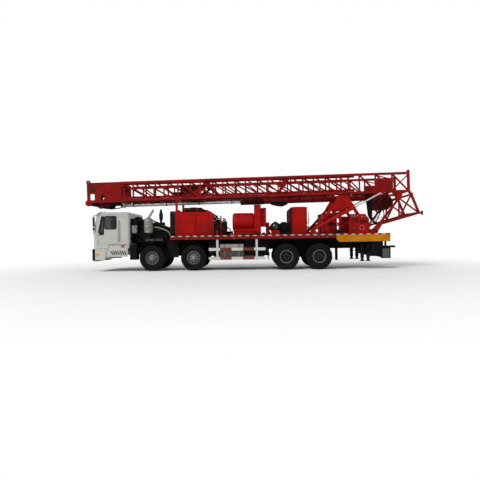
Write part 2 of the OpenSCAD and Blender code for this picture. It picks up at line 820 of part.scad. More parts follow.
module drive_units() {
  color("#191b1a") {
    block([-1700, -450, deck_top], [-1250, 450, 1980]);
    for (s = [-1, 1]) bar_y(-1480, 1850, 230, min(s * 450, s * 900), max(s * 450, s * 900));
    for (s = [-1, 1]) bar_y(-1330, 1640, 110, min(s * 450, s * 860), max(s * 450, s * 860));
    bar_x(-300, 1640, 60, -1250, -920);
  }
  color("#20302a") {
    translate([motor_x, motor_y, motor_z]) sphere(r = motor_r);
    block([motor_x - 180, motor_y - 150, deck_top], [motor_x + 200, motor_y + 150, motor_z - 150]);
    block([motor_x, motor_y + 100, deck_top], [brake_x0 + 20, -320, motor_z - 50]);
    bar_x(-300, motor_z, 90, drum_x1 + 670, brake_x0 + 20);
    // Brake case with a humped top
    slab_y(-330, 150)
      polygon([[brake_x0, deck_top], [brake_x0, 1830], [brake_x0 + 50, 1960], [brake_x0 + 160, 2040],
               [brake_x0 + 290, 2050], [brake_x1 - 55, 1990], [brake_x1, 1900], [brake_x1, deck_top]]);
  }
}

drum_y = -250;
drum_z = 2090;
drum_cover_r = 420;
drum_x0 = -920;
drum_x1 = 40;

// A round bar along X with round edges
module round_drum(x0, x1, r, edge) {
  length = x1 - x0;
  translate([x0, 0, 0]) rotate([0, 90, 0]) rotate_extrude()
    polygon([[0, 0], for (a = [0:15:90]) [r - edge + edge * sin(a), edge - edge * cos(a)],
             for (a = [90:-15:0]) [r - edge + edge * sin(a), length - edge + edge * cos(a)], [0, length]]);
}

module drum_cover() {
  color("#b0201a") {
    translate([0, drum_y, drum_z]) round_drum(drum_x0, drum_x1, drum_cover_r, 90);
    block([drum_x0 + 40, drum_y - 350, deck_top], [drum_x1, drum_y + 350, drum_z - 290]);
  }
}

module chain_cases() {
  color("#a81c16") {
    slab_x(drum_x1, drum_x1 + 290) round_rect(drum_y - 510, deck_top, drum_y + 750, 2850, 150);
    slab_x(drum_x1 + 300, drum_x1 + 520) {
      translate([drum_y, 2330]) circle(r = 400);
      translate([drum_y - 400, 1890]) square([800, 440]);
    }
    block([drum_x1 + 290, drum_y - 350, 2000], [drum_x1 + 300, drum_y + 350, 2600]);
    block([drum_x1 + 520, drum_y - 270, deck_top], [drum_x1 + 670, drum_y + 250, 2060]);
  }
}

winch_x0 = 1710;
winch_x1 = 2330;
winch_half_w = 850;
winch_top = 2710;

module winch_housing() {
  cover_r = 130;
  cover_z = winch_top - 10 - cover_r;
  color("#a81c16") {
    block([winch_x0, -winch_half_w, deck_top], [winch_x1, winch_half_w, winch_top]);
    // Round cover over the drum in front
    slab_y(5 - winch_half_w, winch_half_w - 5)
      polygon([[winch_x0, deck_top + 40],
               for (a = [0:15:90]) [winch_x0 - cover_r * sin(a), cover_z + cover_r * cos(a)],
               [winch_x0 - cover_r, 2200], [winch_x0 - cover_r + 12, 2000], [winch_x0 - 70, 1860],
               [winch_x0 - 30, deck_top + 40]]);
  }
}

// Mast supports: base rail, frame under the mast, hinge bracket and cylinder pedestal

frame_y0 = 800;
frame_y1 = 920;
base_x = 2550;
base_z = 1700;
lug_y0 = chord_y - chord_w / 2;
lug_y1 = chord_y + chord_w / 2;

module support(side) {
  foot = deck_top + 60;
  peak_z = mast_z(3720, chord_low - chord_w / 2 - move_gap) - 1;
  color("#a81c16") on_side(side) {
    difference() {
      union() {
        block([2380, frame_y0, deck_top], [deck_rear, frame_y1, foot]);
        slab_y(frame_y0, frame_y1) {
          polygon([[3720, peak_z], [4070, peak_z],
                   [4380, 2710], [4380, 2600], [3410, 2600], [3410, 2710]]);
          member([3460, 2660], [2470, foot - 20], 110);
          member([3780, 2610], [3740, foot - 20], 90);
          member([4330, 2660], [5060, foot - 20], 120);
        }
        // Hinge bracket: two plates on a foot
        block([4980, frame_y0 - 40, deck_top], [deck_rear, lug_y1 + 60, deck_top + 30]);
        for (y = [lug_y0 - move_gap - 50, lug_y1 + move_gap]) slab_y(y, y + 50) {
          polygon([[4980, deck_top], [deck_rear, deck_top], [pivot_x + 70, pivot_z - 60], [pivot_x + 60, pivot_z + 50],
                   [pivot_x - 60, pivot_z + 60], [pivot_x - 120, pivot_z - 20]]);
          translate([pivot_x, pivot_z]) circle(r = 90);
        }
        bar_y(pivot_x, pivot_z, pivot_pin_r, lug_y0 - move_gap - 60, lug_y1 + move_gap + 60);
        // Pedestal of the raising cylinder
        block([2470, frame_y1, deck_top], [2650, raise_y + 80, deck_top + 20]);
        for (y = [raise_y - 80, raise_y + 62]) slab_y(y, y + 18) {
          translate([2470, deck_top]) square([180, base_z - deck_top]);
          translate([base_x, base_z]) circle(r = 75);
        }
        bar_y(base_x, base_z, raise_pin_r, raise_y - 90, raise_y + 90);
      }
    }
  }
}

module control_cabinets() {
  color("#a81c16") {
    for (s = [-1, 1]) {
      slab_y(min(s * 200, s * 790), max(s * 200, s * 790)) round_rect(3030, deck_top, 3640, 2420, 30);
      slab_y(min(s * (frame_y1 + 5), s * 1062), max(s * (frame_y1 + 5), s * 1062))
        polygon([[4130, deck_top], [4960, deck_top], [4960, 2150], [4800, 2350], [4130, 2350]]);
    }
  }
}

// Rear jacks: two legs a side

jack_x = [4650, 4900];
jack_y = deck_half_w - 185;
jack_leg_r = 60;
jack_tube_t = 20;
jack_foot_z = 330;

module jacks(side) {
  color("#2a2a2a") on_side(side) for (x = jack_x) {
    translate([x, jack_y, jack_foot_z]) cylinder(r1 = 105, r2 = 75, h = 40);
    translate([x, jack_y, jack_foot_z + 40]) cylinder(r = jack_leg_r, h = 1000);
  }
}

module jack_tubes() {
  z0 = 700;
  z1 = deck_top - plate_t;
  difference() {
    union() {
      for (x = jack_x) translate([x, jack_y, z0]) cylinder(r = jack_leg_r + jack_tube_t, h = z1 - z0);
      // Outrigger beam from the rail
      block([jack_x[0] - 110, rail_y - 5, rail_top], [jack_x[1] + 110, jack_y + 20, sub_top]);
    }
    for (x = jack_x) translate([x, jack_y, z0 - 1]) cylinder(r = jack_leg_r + run_gap, h = z1 - z0 - 20);
  }
}

// Lower mast section. Its side frames are drawn in the mast's own frame.

mast_front = -11200;
mast_end = 1345;
post0 = -10650;
posts = 11;
post_u = [for (i = [0:posts - 1]) post0 + i * bay];
rear_posts = [-110, 600];
foot_p = [1700, 440];
knee_p = [870, 1100];
heel_p = [1400, 1250];
mid_p = [850, 220];

module mast_side(side) {
  low = chord_low;
  high = chord_high;
  all_posts = concat(post_u, rear_posts, [mast_end - chord_w / 2]);
  color("#a81c16") mast_place() on_side(side) {
    slab_y(chord_y - chord_w / 2, chord_y + chord_w / 2) {
      for (w = [low, high]) translate([mast_front, w - chord_w / 2]) square([mast_end - mast_front, chord_w]);
      translate([mast_end - chord_w, low]) square([chord_w, high - low + 130]);
      member([0, 0], knee_p, 90);
      member([0, 0], foot_p, 90);
      member(foot_p, heel_p, 90);
      member(knee_p, heel_p, 90);
      member(heel_p, [mast_end - chord_w / 2, low], 90);
      polygon([[700, low - 40], [1050, low - 40], [940, knee_p[1] - 40], [800, knee_p[1] - 40]]);
      circle(r = 75);
    }
    slab_y(chord_y - web_w / 2, chord_y + web_w / 2) {
      for (u = all_posts) translate([u - web_w / 2, low]) square([web_w, high - low]);
      for (i = [0:len(all_posts) - 2]) member([all_posts[i], high], [all_posts[i + 1], low], web_w);
      member(knee_p, mid_p, web_w);
      member(mid_p, heel_p, web_w);
      member(knee_p, foot_p, web_w);
      translate([-150, low]) square([760, 480]);
    }
    // Foot of the rear leg
    translate([foot_p[0], chord_y, foot_p[1]]) rotate([0, 90, 0]) cylinder(r = 35, h = 110);
    translate([foot_p[0] + 110, chord_y, foot_p[1]]) rotate([0, 90, 0]) cylinder(r = 95, h = 40);
    // Lug for the raising cylinder's rod
    difference() {
      slab_y(lug_y1, lug_y1 + 70 - move_gap) {
        translate([eye_u, eye_w]) circle(r = 85);
        translate([eye_u - 120, eye_w - 60]) square([240, 160]);
      }
    }
  }
}

// The rod's pin on the lowered mast: its place in the rig's frame, then in the mast's
eye_x = 5580;
eye_z = 3300;
eye_u = (eye_x - pivot_x) * cos(mast_tilt) + (eye_z - pivot_z) * sin(mast_tilt);
eye_w = (eye_z - pivot_z) * cos(mast_tilt) - (eye_x - pivot_x) * sin(mast_tilt);

module mast_hinge_side(side) {
  difference() {
    mast_side(side);
    mast_place() on_side(side) translate([0, lug_y0 - 1, 0]) rotate([-90, 0, 0])
      cylinder(r = pivot_pin_r + run_gap, h = chord_w + 2);
  }
}

// Travelling block, hung under the lacing behind the telescoping cylinder
block_u = 470;
block_w = 960;
block_half_w = 264;
block_sheave_r = 240;

module travelling_block() {
  cheek_t = 24;
  hanger_w = 80;
  difference() {
    slab_y(-block_half_w, block_half_w)
      polygon([[-150, block_w + 20], [-110, 1180], [20, 1270], [block_u, 1270], [block_u + 200, 1150],
               [block_u + 270, block_w + 60], [block_u + 250, block_w - 60], [block_u + 60, block_w - 230],
               [180, 740], [0, 760], [-110, 860]]);
    slab_y(cheek_t - block_half_w, block_half_w - cheek_t) {
      translate([-200, 600]) square([block_u - 60 + 200, 800]);
      translate([block_u, block_w]) circle(r = block_sheave_r + 20);
    }
  }
  for (i = [-1.5:1]) bar_y(block_u, block_w, block_sheave_r, i * 120 - 28, i * 120 + 28);
  bar_y(block_u, block_w, 60, -block_half_w, block_half_w);
  for (u = rear_posts) for (side = [-1, 1])
    translate([u - hanger_w / 2, side * (block_half_w - 2 * cheek_t) - cheek_t, block_w + 90])
      cube([hanger_w, 2 * cheek_t, chord_low - lace_half - block_w - 90]);
}

module mast_back() {
  inner = chord_y - chord_w / 2;
  color("#a81c16") mast_place() {
    slab_z(chord_low - lace_half, chord_low + lace_half) {
      for (u = concat(post_u, rear_posts)) translate([u - 40, -inner]) square([80, 2 * inner]);
      for (i = [0:posts - 2]) {
        s = i % 2 == 0 ? 1 : -1;
        member([post_u[i], s * (inner - 40)], [post_u[i + 1], -s * (inner - 40)], web_w);
      }
      translate([mast_end - 100, -inner]) square([100, 2 * inner]);
    }
    travelling_block();
    // Cross members of the rear legs
    translate([foot_p[0] - 45, -inner, foot_p[1] - 45]) cube([90, 2 * inner, 90]);
    translate([knee_p[0] - 45, -inner, knee_p[1] - 45]) cube([90, 2 * inner, 90]);
  }
}

// Upper mast section, nested in the lower one

upper_low = 1520;
upper_high = 2115;
upper_rear = -1000;
crown_front = -12740;
crown_join = -11215;
crown_plate_t = 12;
upper_post0 = -11100;
upper_posts = 11;
upper_post_u = [for (i = [0:upper_posts - 1]) upper_post0 + i * bay];

guy_u = crown_front + 60;
guy_w = chord_high + 90;
guy_t = 30;
guy_r = 20;

module upper_side(side) {
  half = upper_w / 2;
  color("#a81c16") mast_place() on_side(side) {
    slab_y(upper_y - half, upper_y + half) {
      for (w = [upper_low, upper_high])
        translate([crown_join - 400, w - half]) square([upper_rear - crown_join + 400, upper_w]);
      // Crown side frame
      for (w = [chord_low, chord_high])
        translate([crown_front, w - chord_w / 2]) square([crown_join - crown_front, chord_w]);
      translate([crown_front, chord_low]) square([100, chord_high - chord_low]);
      translate([crown_join - 100, chord_low]) square([100, chord_high - chord_low]);
      translate([crown_front + 410, chord_low]) square([110, chord_high - chord_low]);
      translate([crown_join - 640, chord_low]) square([60, chord_high - chord_low]);
    }
    // Crown side plate with its two rounded windows
    slab_y(upper_y + half - crown_plate_t, upper_y + half) difference() {
      translate([crown_front, chord_low]) square([crown_join - crown_front, chord_high - chord_low]);
      round_rect(crown_front + 150, chord_low + 60, crown_front + 340, chord_low + 330, 45);
      round_rect(crown_front + 590, chord_low + 60, crown_front + 770, chord_low + 290, 45);
    }
    // Eye for a guy line
    slab_y(upper_y - guy_t / 2, upper_y + guy_t / 2) difference() {
      union() {
        translate([guy_u, guy_w]) circle(r = 50);
        translate([guy_u - 50, chord_high]) square([100, guy_w - chord_high]);
      }
      translate([guy_u, guy_w]) circle(r = guy_r);
    }
    slab_y(upper_y - web_w / 2, upper_y + web_w / 2) {
      for (u = upper_post_u) translate([u - web_w / 2, upper_low]) square([web_w, upper_high - upper_low]);
      for (i = [0:upper_posts - 2])
        member([upper_post_u[i], upper_high], [upper_post_u[i + 1], upper_low], web_w);
    }
  }
}

module upper_back() {
  inner = upper_y - upper_w / 2;
  color("#a81c16") mast_place() slab_z(upper_low - 25, upper_low + 25) {
    for (u = upper_post_u) translate([u - 35, -inner]) square([70, 2 * inner]);
    for (i = [0:upper_posts - 2]) {
      s = i % 2 == 0 ? 1 : -1;
      member([upper_post_u[i], s * (inner - 30)], [upper_post_u[i + 1], -s * (inner - 30)], 50);
    }
  }
}

module crown_block() {
  inner = upper_y - upper_w / 2;
  color("#a81c16") mast_place() {
    for (w = [chord_low, chord_high]) for (u = [crown_front, crown_join - 100])
      translate([u, -inner, w - chord_w / 2]) cube([100, 2 * inner, chord_w]);
    for (s = [-1, 1]) translate([crown_front + 100, s * (inner - 100) - 100, chord_low - 50])
      cube([crown_join - crown_front - 200, 200, 60]);
    // Sheaves on the crown's shaft
    translate([crown_front + 700, 0, chord_low - 50]) rotate([90, 0, 0])
      for (i = [-2:2]) translate([0, 0, i * 150 - 30]) cylinder(r = 220, h = 60);
    translate([crown_front + 700, inner, chord_low - 50]) rotate([90, 0, 0]) cylinder(r = 45, h = 2 * inner);
  }
}

module racking_board() {
  inner = upper_y - upper_w / 2;
  color("#701410") mast_place() translate([-8600, -inner, upper_low + 25]) cube([740, 2 * inner, 420]);
}

// Telescoping cylinder under the mast

lace_half = 30;
tele_w = chord_low - lace_half - tele_barrel_r - move_gap;
tele_front = -5950;
tele_rear = 190;

rope_u = -4350;

module tele_barrel() {
  color("#a81c16") mast_place() {
    difference() {
      bar_x(0, tele_w, tele_barrel_r, tele_front, tele_rear);
      bar_x(0, tele_w, tele_rod_r + run_gap, tele_front - 1, tele_rear - 60);
    }
    // Rope block under the barrel
    difference() {
      slab_y(-150, 150)
        polygon([[rope_u - 350, tele_w - 55], [rope_u - 210, tele_w - 175], [rope_u + 100, tele_w - 250],
                 [rope_u + 270, tele_w - 260], [rope_u + 490, tele_w - 175], [rope_u + 530, tele_w - 55]]);
      bar_x(0, tele_w, tele_rod_r + run_gap, tele_front - 1, tele_rear - 60);
    }
    for (u = [post_u[7], post_u[10]])
      translate([u - 40, -100, tele_w + 60]) cube([80, 200, chord_low - lace_half - tele_w - 60]);
  }
}

module tele_rod() {
  color("#c8c8c8") mast_place() {
    bar_x(0, tele_w, tele_rod_r, crown_join - 140, tele_rear - 100);
    translate([crown_join - 170, -110, tele_w - 90]) cube([90, 220, chord_low - 50 - tele_w + 90]);
  }
}

// Raising cylinders, one each side

raise_dx = eye_x - base_x;
raise_dz = eye_z - base_z;
raise_len = norm([raise_dx, raise_dz]);
raise_angle = atan2(raise_dz, raise_dx);
raise_barrel_len = 2030;

module along_cylinder() {
  translate([base_x, 0, base_z]) rotate([0, -raise_angle, 0]) children();
}

module raise_barrels() {
  color("#a81c16") both_sides() along_cylinder() difference() {
    union() {
      bar_x(raise_y, 0, raise_barrel_r, 105, raise_barrel_len);
      bar_y(0, 0, 68, raise_y - 56, raise_y + 56);
      translate([0, raise_y - 40, -50]) cube([115, 80, 100]);
    }
    bar_y(0, 0, raise_pin_r + run_gap, raise_y - 60, raise_y + 60);
    bar_x(raise_y, 0, raise_rod_r + run_gap, 300, raise_barrel_len + 1);
  }
}

module raise_rods() {
  color("#c8c8c8") both_sides() along_cylinder() {
    bar_x(raise_y, 0, raise_rod_r, 340, raise_len - 30);
    bar_y(raise_len, 0, 70, raise_y - 70, raise_y + 40);
  }
}

chassis_frame();
suspension();
axles();
knuckle(0, left);  // knuckle_1_left
knuckle(0, right);  // knuckle_1_right
knuckle(1, left);  // knuckle_2_left
knuckle(1, right);  // knuckle_2_right
tyre(0, left);  // tyre_1_left
tyre(0, right);  // tyre_1_right
tyre(1, left);  // tyre_2_left
tyre(1, right);  // tyre_2_right
rim(0, left);  // rim_1_left
rim(0, right);  // rim_1_right
rim(1, left);  // rim_2_left
rim(1, right);  // rim_2_right
tyres(2, left);  // tyres_3_left
tyres(2, right);  // tyres_3_right
tyres(3, left);  // tyres_4_left
tyres(3, right);  // tyres_4_right
rims(2, left);  // rims_3_left
rims(2, right);  // rims_3_right
rims(3, left);  // rims_4_left
rims(3, right);  // rims_4_right
cab_shell();
cab_glass();
door(left);  // door_left
door(right);  // door_right
cab_interior();
lower_panels();
engine();
exhaust();
mudguards();
side_tanks();
side_guards();
deck();
deck_skirts();
hood();
cooling_pack();
mast_rests();
drive_units();
drum_cover();
chain_cases();
winch_housing();
support(left);  // support_left
support(right);  // support_right
control_cabinets();
jacks(left);  // jacks_left
jacks(right);  // jacks_right
mast_hinge_side(left);  // mast_left
mast_hinge_side(right);  // mast_right
mast_back();
upper_side(left);  // upper_left
upper_side(right);  // upper_right
upper_back();
crown_block();
racking_board();
tele_barrel();
tele_rod();
raise_barrels();
raise_rods();
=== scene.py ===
import json
import math

import bmesh
import bpy
from mathutils import Matrix, Vector


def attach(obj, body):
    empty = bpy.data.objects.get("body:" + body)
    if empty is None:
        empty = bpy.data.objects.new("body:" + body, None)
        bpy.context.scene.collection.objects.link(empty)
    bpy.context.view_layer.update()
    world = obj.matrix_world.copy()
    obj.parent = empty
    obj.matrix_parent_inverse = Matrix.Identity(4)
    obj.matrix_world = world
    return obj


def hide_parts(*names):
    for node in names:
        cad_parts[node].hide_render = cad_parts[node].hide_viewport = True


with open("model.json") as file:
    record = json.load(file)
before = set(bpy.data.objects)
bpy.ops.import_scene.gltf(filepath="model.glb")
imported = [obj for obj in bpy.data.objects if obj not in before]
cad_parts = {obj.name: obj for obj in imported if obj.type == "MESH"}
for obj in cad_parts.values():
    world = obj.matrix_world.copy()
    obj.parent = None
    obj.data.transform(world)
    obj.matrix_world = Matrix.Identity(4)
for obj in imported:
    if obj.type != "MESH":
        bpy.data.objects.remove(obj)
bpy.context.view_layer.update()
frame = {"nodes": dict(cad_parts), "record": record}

NODES = frame["nodes"]


# Materials

def add(nodes, kind, **values):
    node = nodes.new(kind)
    for key, value in values.items():
        if key in node.inputs:
            node.inputs[key].default_value = value
        else:
            setattr(node, key, value)
    return node


class Surface:
    """A new material: its shader's sockets, and short calls for the nodes that feed them."""

    def __init__(self, name):
        self.material = bpy.data.materials.new(name)
        self.material.use_nodes = True
        self.nodes, self.links = self.material.node_tree.nodes, self.material.node_tree.links
        self.shader = self.nodes["Principled BSDF"]
        self.place = self.fed("ShaderNodeTexCoord").outputs["Object"]

    def fed(self, kind, source=None, **values):
        """A node with its values set, and its first socket fed by the source."""
        node = add(self.nodes, kind, **values)
        if source is not None:
            self.links.new(source, node.inputs[0])
        return node

    def feed(self, socket, value):
        """Gives one of the shader's own sockets a source or a constant."""
        if isinstance(value, bpy.types.NodeSocket):
            self.links.new(value, self.shader.inputs[socket])
        else:
            self.shader.inputs[socket].default_value = value

    def noise(self, scale, detail, place=None):
        place = self.place if place is None else place
        return self.fed("ShaderNodeTexNoise", place, Scale=scale, Detail=detail, Roughness=0.6).outputs["Fac"]

    def ramp(self, source, *stops):
        """Shades between two stops, each a position and a grey or a colour."""
        node = self.fed("ShaderNodeValToRGB", source)
        for point, (at, shade) in zip(node.color_ramp.elements, stops):
            point.position = at
            point.color = (*shade, 1) if isinstance(shade, tuple) else (shade, shade, shade, 1)
        return node.outputs["Color"]

    def mix(self, fac, a, b, mode="MIX"):
        node = self.fed("ShaderNodeMix", data_type="RGBA", blend_type=mode)
        for socket, value in ((node.inputs[0], fac), (node.inputs[6], a), (node.inputs[7], b)):
            if isinstance(value, bpy.types.NodeSocket):
                self.links.new(value, socket)
            else:
                socket.default_value = (*value, 1) if isinstance(value, tuple) else value
        return node.outputs[2]

    def bump(self, height, strength, distance):
        node = self.fed("ShaderNodeBump", Strength=strength, Distance=distance)
        self.links.new(height, node.inputs["Height"])
        self.feed("Normal", node.outputs["Normal"])


def paint(name, colour, dark=0.62, rough=0.38, dust=(0.3, 0.25, 0.2), dust_amount=0.35, coat=0.15, shine=0.3):
    """Machine paint: cloudy shade, fine dust low down, streaks and worn specks."""
    it = Surface(name)
    deep = tuple(c * dark for c in colour)
    shade = it.mix(it.ramp(it.noise(1.7, 5), (0.3, 0.0), (0.75, 1.0)), deep, colour)
    stretch = it.fed("ShaderNodeMapping", it.place, Scale=(9.0, 9.0, 0.8))
    streak = it.noise(2.0, 6, stretch.outputs["Vector"])
    shade = it.mix(it.ramp(streak, (0.55, 0.0), (0.8, 0.28)), shade, deep)
    height = it.fed("ShaderNodeSeparateXYZ", it.place).outputs["Z"]
    low = it.fed("ShaderNodeMapRange", height, **{"From Min": 2.0, "From Max": 0.5, "To Max": dust_amount})
    speck = it.ramp(it.noise(14, 6), (0.35, 0.2), (0.7, 1.0))
    grime = it.mix(1.0, low.outputs["Result"], speck, "MULTIPLY")
    it.feed("Base Color", it.mix(grime, shade, dust))
    it.feed("Roughness", it.ramp(it.noise(6, 5), (0.3, rough - 0.08), (0.75, rough + 0.2)))
    it.bump(it.noise(55, 3), 0.12, 0.004)
    it.feed("Coat Weight", coat)
    it.feed("Coat Roughness", 0.12)
    it.feed("Specular IOR Level", shine)
    return it.material


def dull_paint(name, colour, dark=0.62, rough=0.5, dust_amount=0.02, shine=0.1):
    return paint(name, colour, dark, rough, dust_amount=dust_amount, coat=0.0, shine=shine)


def rubber(name, colour=(0.0045, 0.0045, 0.005), dust=(0.01, 0.0095, 0.009)):
    it = Surface(name)
    cloud = it.noise(9, 6)
    it.feed("Base Color", it.mix(it.ramp(cloud, (0.4, 0.0), (0.75, 0.55)), colour, dust))
    it.feed("Specular IOR Level", 0.1)
    it.feed("Roughness", it.ramp(cloud, (0.3, 0.62), (0.7, 0.88)))
    it.bump(it.noise(120, 3), 0.3, 0.003)
    return it.material


def metal(name, colour, rough, stain=(0.1, 0.07, 0.05), stain_amount=0.25):
    it = Surface(name)
    cloud = it.noise(7, 6)
    it.feed("Base Color", it.mix(it.ramp(cloud, (0.5, 0.0), (0.8, stain_amount)), colour, stain))
    it.feed("Roughness", it.ramp(cloud, (0.3, rough), (0.8, rough + 0.25)))
    it.feed("Metallic", 1.0)
    it.bump(it.noise(90, 2), 0.08, 0.002)
    return it.material


def window_glass(name):
    it = Surface(name)
    smear = it.noise(3, 5)
    it.feed("Base Color", it.ramp(smear, (0.35, (0.01, 0.016, 0.018)), (0.8, (0.03, 0.042, 0.046))))
    it.feed("Roughness", it.ramp(smear, (0.4, 0.03), (0.8, 0.12)))
    it.feed("Alpha", 0.55)
    it.feed("IOR", 1.5)
    return it.material


def lamp_glass(name, colour):
    it = Surface(name)
    ribs = it.fed("ShaderNodeTexWave", it.place, Scale=18.0, Distortion=0.4).outputs["Fac"]
    it.feed("Base Color", it.mix(ribs, tuple(c * 0.6 for c in colour), colour))
    it.feed("Roughness", 0.12)
    it.feed("Coat Weight", 0.6)
    it.bump(ribs, 0.4, 0.002)
    return it.material


MAT = {
    "tyre": rubber("tyre_rubber"),
    "rim_grey": paint("rim_grey_paint", (0.135, 0.134, 0.124), rough=0.45, dust=(0.16, 0.15, 0.13),
                      dust_amount=0.3, shine=0.2),
    "rim_dark": paint("rim_dark_paint", (0.03, 0.03, 0.029), rough=0.55, dust=(0.1, 0.09, 0.08),
                      dust_amount=0.25, coat=0.0, shine=0.15),
    "chassis_black": dull_paint("chassis_paint", (0.004, 0.004, 0.0045), rough=0.6, shine=0.08),
    "cab_white": paint("cab_paint", (0.52, 0.515, 0.48), dark=0.86, rough=0.26, dust_amount=0.18, coat=0.5),
    "window": window_glass("window_glass"),
    "interior": rubber("cab_trim", (0.06, 0.06, 0.064)),
    "machine_dark": dull_paint("machine_paint", (0.006, 0.0062, 0.006), rough=0.45, dust_amount=0.03,
                               shine=0.13),
    "steel_grey": paint("grey_paint", (0.29, 0.29, 0.275), rough=0.42, dust_amount=0.3),
    "guard_white": paint("guard_paint", (0.62, 0.6, 0.57), dark=0.85, rough=0.4, dust_amount=0.3),
    "deck_red": dull_paint("deck_paint", (0.2, 0.009, 0.0065)),
    "rig_red": dull_paint("rig_paint", (0.4, 0.0045, 0.003)),
    "skirt_yellow": dull_paint("skirt_paint", (0.56, 0.2, 0.001), dust_amount=0.03),
    "board_red": dull_paint("board_paint", (0.055, 0.0028, 0.0028), rough=0.55, shine=0.12),
    # Dark red of the travelling block's plates, also the painted shade on the crown's side plates
    "block_red": dull_paint("block_paint_and_crown_shade", (0.15, 0.005, 0.004), dark=0.25, dust_amount=0.0, shine=0.15),
    "mast_red": dull_paint("mast_paint", (0.285, 0.0045, 0.0035), dark=0.55, dust_amount=0.0, shine=0.12),
    "chrome_rod": metal("rod_chrome", (0.62, 0.61, 0.58), rough=0.22),
    "rod_painted_reflection": dull_paint("rod_painted_reflection_paint", (0.78, 0.76, 0.75), dark=0.85, rough=0.3, dust_amount=0.0,
                           shine=0.8),
    "steel": metal("bare_steel", (0.42, 0.41, 0.4), rough=0.32),
    "seat_cloth": rubber("seat_cloth", (0.045, 0.047, 0.055)),
    "tank_coat": dull_paint("tank_and_box_dark_paint", (0.062, 0.054, 0.048), dust_amount=0.1, shine=0.2),
    "seam_grey": rubber("seam_grey", (0.1, 0.1, 0.098)),
    "pale_hose": rubber("pale_hose", (0.3, 0.29, 0.22)),
    "mark_white": dull_paint("mark_white_paint", (0.5, 0.42, 0.4), dark=0.85, rough=0.4, dust_amount=0.2,
                             shine=0.3),
    "stripe_red": dull_paint("stripe_red_paint", (0.17, 0.004, 0.003), rough=0.4, dust_amount=0.2, shine=0.3),
    "motor_green": paint("motor_green_paint", (0.012, 0.032, 0.026), rough=0.18, dust_amount=0.0, coat=0.6),
    "red_lens": lamp_glass("red_lens", (0.55, 0.02, 0.01)),
    "amber_lens": lamp_glass("amber_lens", (0.75, 0.25, 0.01)),
    "clear_lens": lamp_glass("clear_lens", (0.75, 0.78, 0.8)),
}

# The mast's paint is darker than the machinery's. Its long rod is a matte pale paint, duller than the raising
# rods, whose lightness is a painted reflection of the chrome
MAST_NODES = ("mast_left", "mast_right", "mast_back", "upper_left", "upper_right", "upper_back",
              "crown_block", "tele_barrel")
OWN_MATERIAL = {**{name: "mast_red" for name in MAST_NODES}, "tele_rod": "rod_painted_reflection"}
for part in frame["record"]["subparts"]:
    mesh = NODES[part["node"]].data
    mesh.materials.clear()
    mesh.materials.append(MAT[OWN_MATERIAL.get(part["node"], part["material_slot"])])


# Outlines and curves

def arc(x, z, radius, start, end, steps):
    """Points along an arc between two angles in degrees."""
    angles = [math.radians(start + (end - start) * k / steps) for k in range(steps + 1)]
    return [(x + radius * math.cos(a), z + radius * math.sin(a)) for a in angles]


def circle(x, z, radius, count, turn=0.0):
    """Points round a circle, turned on by a share of their spacing."""
    angles = [2 * math.pi * (k + turn) / count for k in range(count)]
    return [(x + radius * math.cos(a), z + radius * math.sin(a)) for a in angles]


def rounded(x0, z0, x1, z1, r):
    """Outline of a rectangle with round corners."""
    corners = ((x1 - r, z1 - r, 0), (x0 + r, z1 - r, 90), (x0 + r, z0 + r, 180), (x1 - r, z0 + r, 270))
    return [p for x, z, start in corners for p in arc(x, z, r, start, start + 90, 5)]


def inset(outline, margin):
    """The outline drawn in by a margin towards its middle, corner by corner."""
    inner = []
    for i, p in enumerate(outline):
        here = Vector(p)
        before = (here - Vector(outline[i - 1])).normalized()
        after = (Vector(outline[(i + 1) % len(outline)]) - here).normalized()
        n0, n1 = Vector((-before.y, before.x)), Vector((-after.y, after.x))
        both = n0 + n1 if (n0 + n1).length > 1e-6 else n0
        both.normalize()
        inner.append(tuple(here + both * (margin / max(0.5, both.dot(n0)))))
    return inner


def laid(outline, place, plane):
    """Points of a flat outline set at a place across its plane."""
    across = {"yz": 0, "xz": 1, "xy": 2}[plane]
    return [(*p[:across], place, *p[across:]) for p in outline]


def axes_of(axis):
    along = Vector(axis).normalized()
    side = Vector((0, 0, 1)) if abs(along.z) < 0.9 else Vector((1, 0, 0))
    u = along.cross(side).normalized()
    return along, u, along.cross(u)


def smooth_line(route, steps):
    """Points of a smooth curve that passes through each point of the route."""
    pts = [Vector(p) for p in route]
    pts = [2 * pts[0] - pts[1]] + pts + [2 * pts[-1] - pts[-2]]
    line = []
    for a, b, c, d in zip(pts, pts[1:], pts[2:], pts[3:]):
        for t in [i / steps for i in range(steps)]:
            line.append(0.5 * ((2 * b) + (c - a) * t + (2 * a - 5 * b + 4 * c - d) * t * t
                               + (3 * b - a - 3 * c + d) * t ** 3))
    line.append(pts[-2])
    return line


def collar(inner, outer, width, edge):
    """Profile of a band round a tube, with chamfered edges."""
    return [(inner, 0), (outer, edge), (outer, width - edge), (inner, width)]


def groove(bore, shoulder, rim, root, half):
    """Profile of a rope sheave on both sides of its middle."""
    lip = half - 0.006
    return [(bore, -half), (shoulder, -half), (rim, -lip), (root, 0), (rim, lip), (shoulder, half),
            (bore, half)]


# Shapes

SIDES = ("left", "right")
# The mast's pieces are given in its own frame: along it, across it and up from the hinge
HINGE_X, HINGE_Z = 5.43, 1.9
HINGE = Vector((HINGE_X, 0, HINGE_Z))
TILT = math.radians(1.0)


def from_mast(point):
    c, s = math.cos(TILT), math.sin(TILT)
    u, v, w = point
    return HINGE.x + u * c - w * s, v, HINGE.z + u * s + w * c


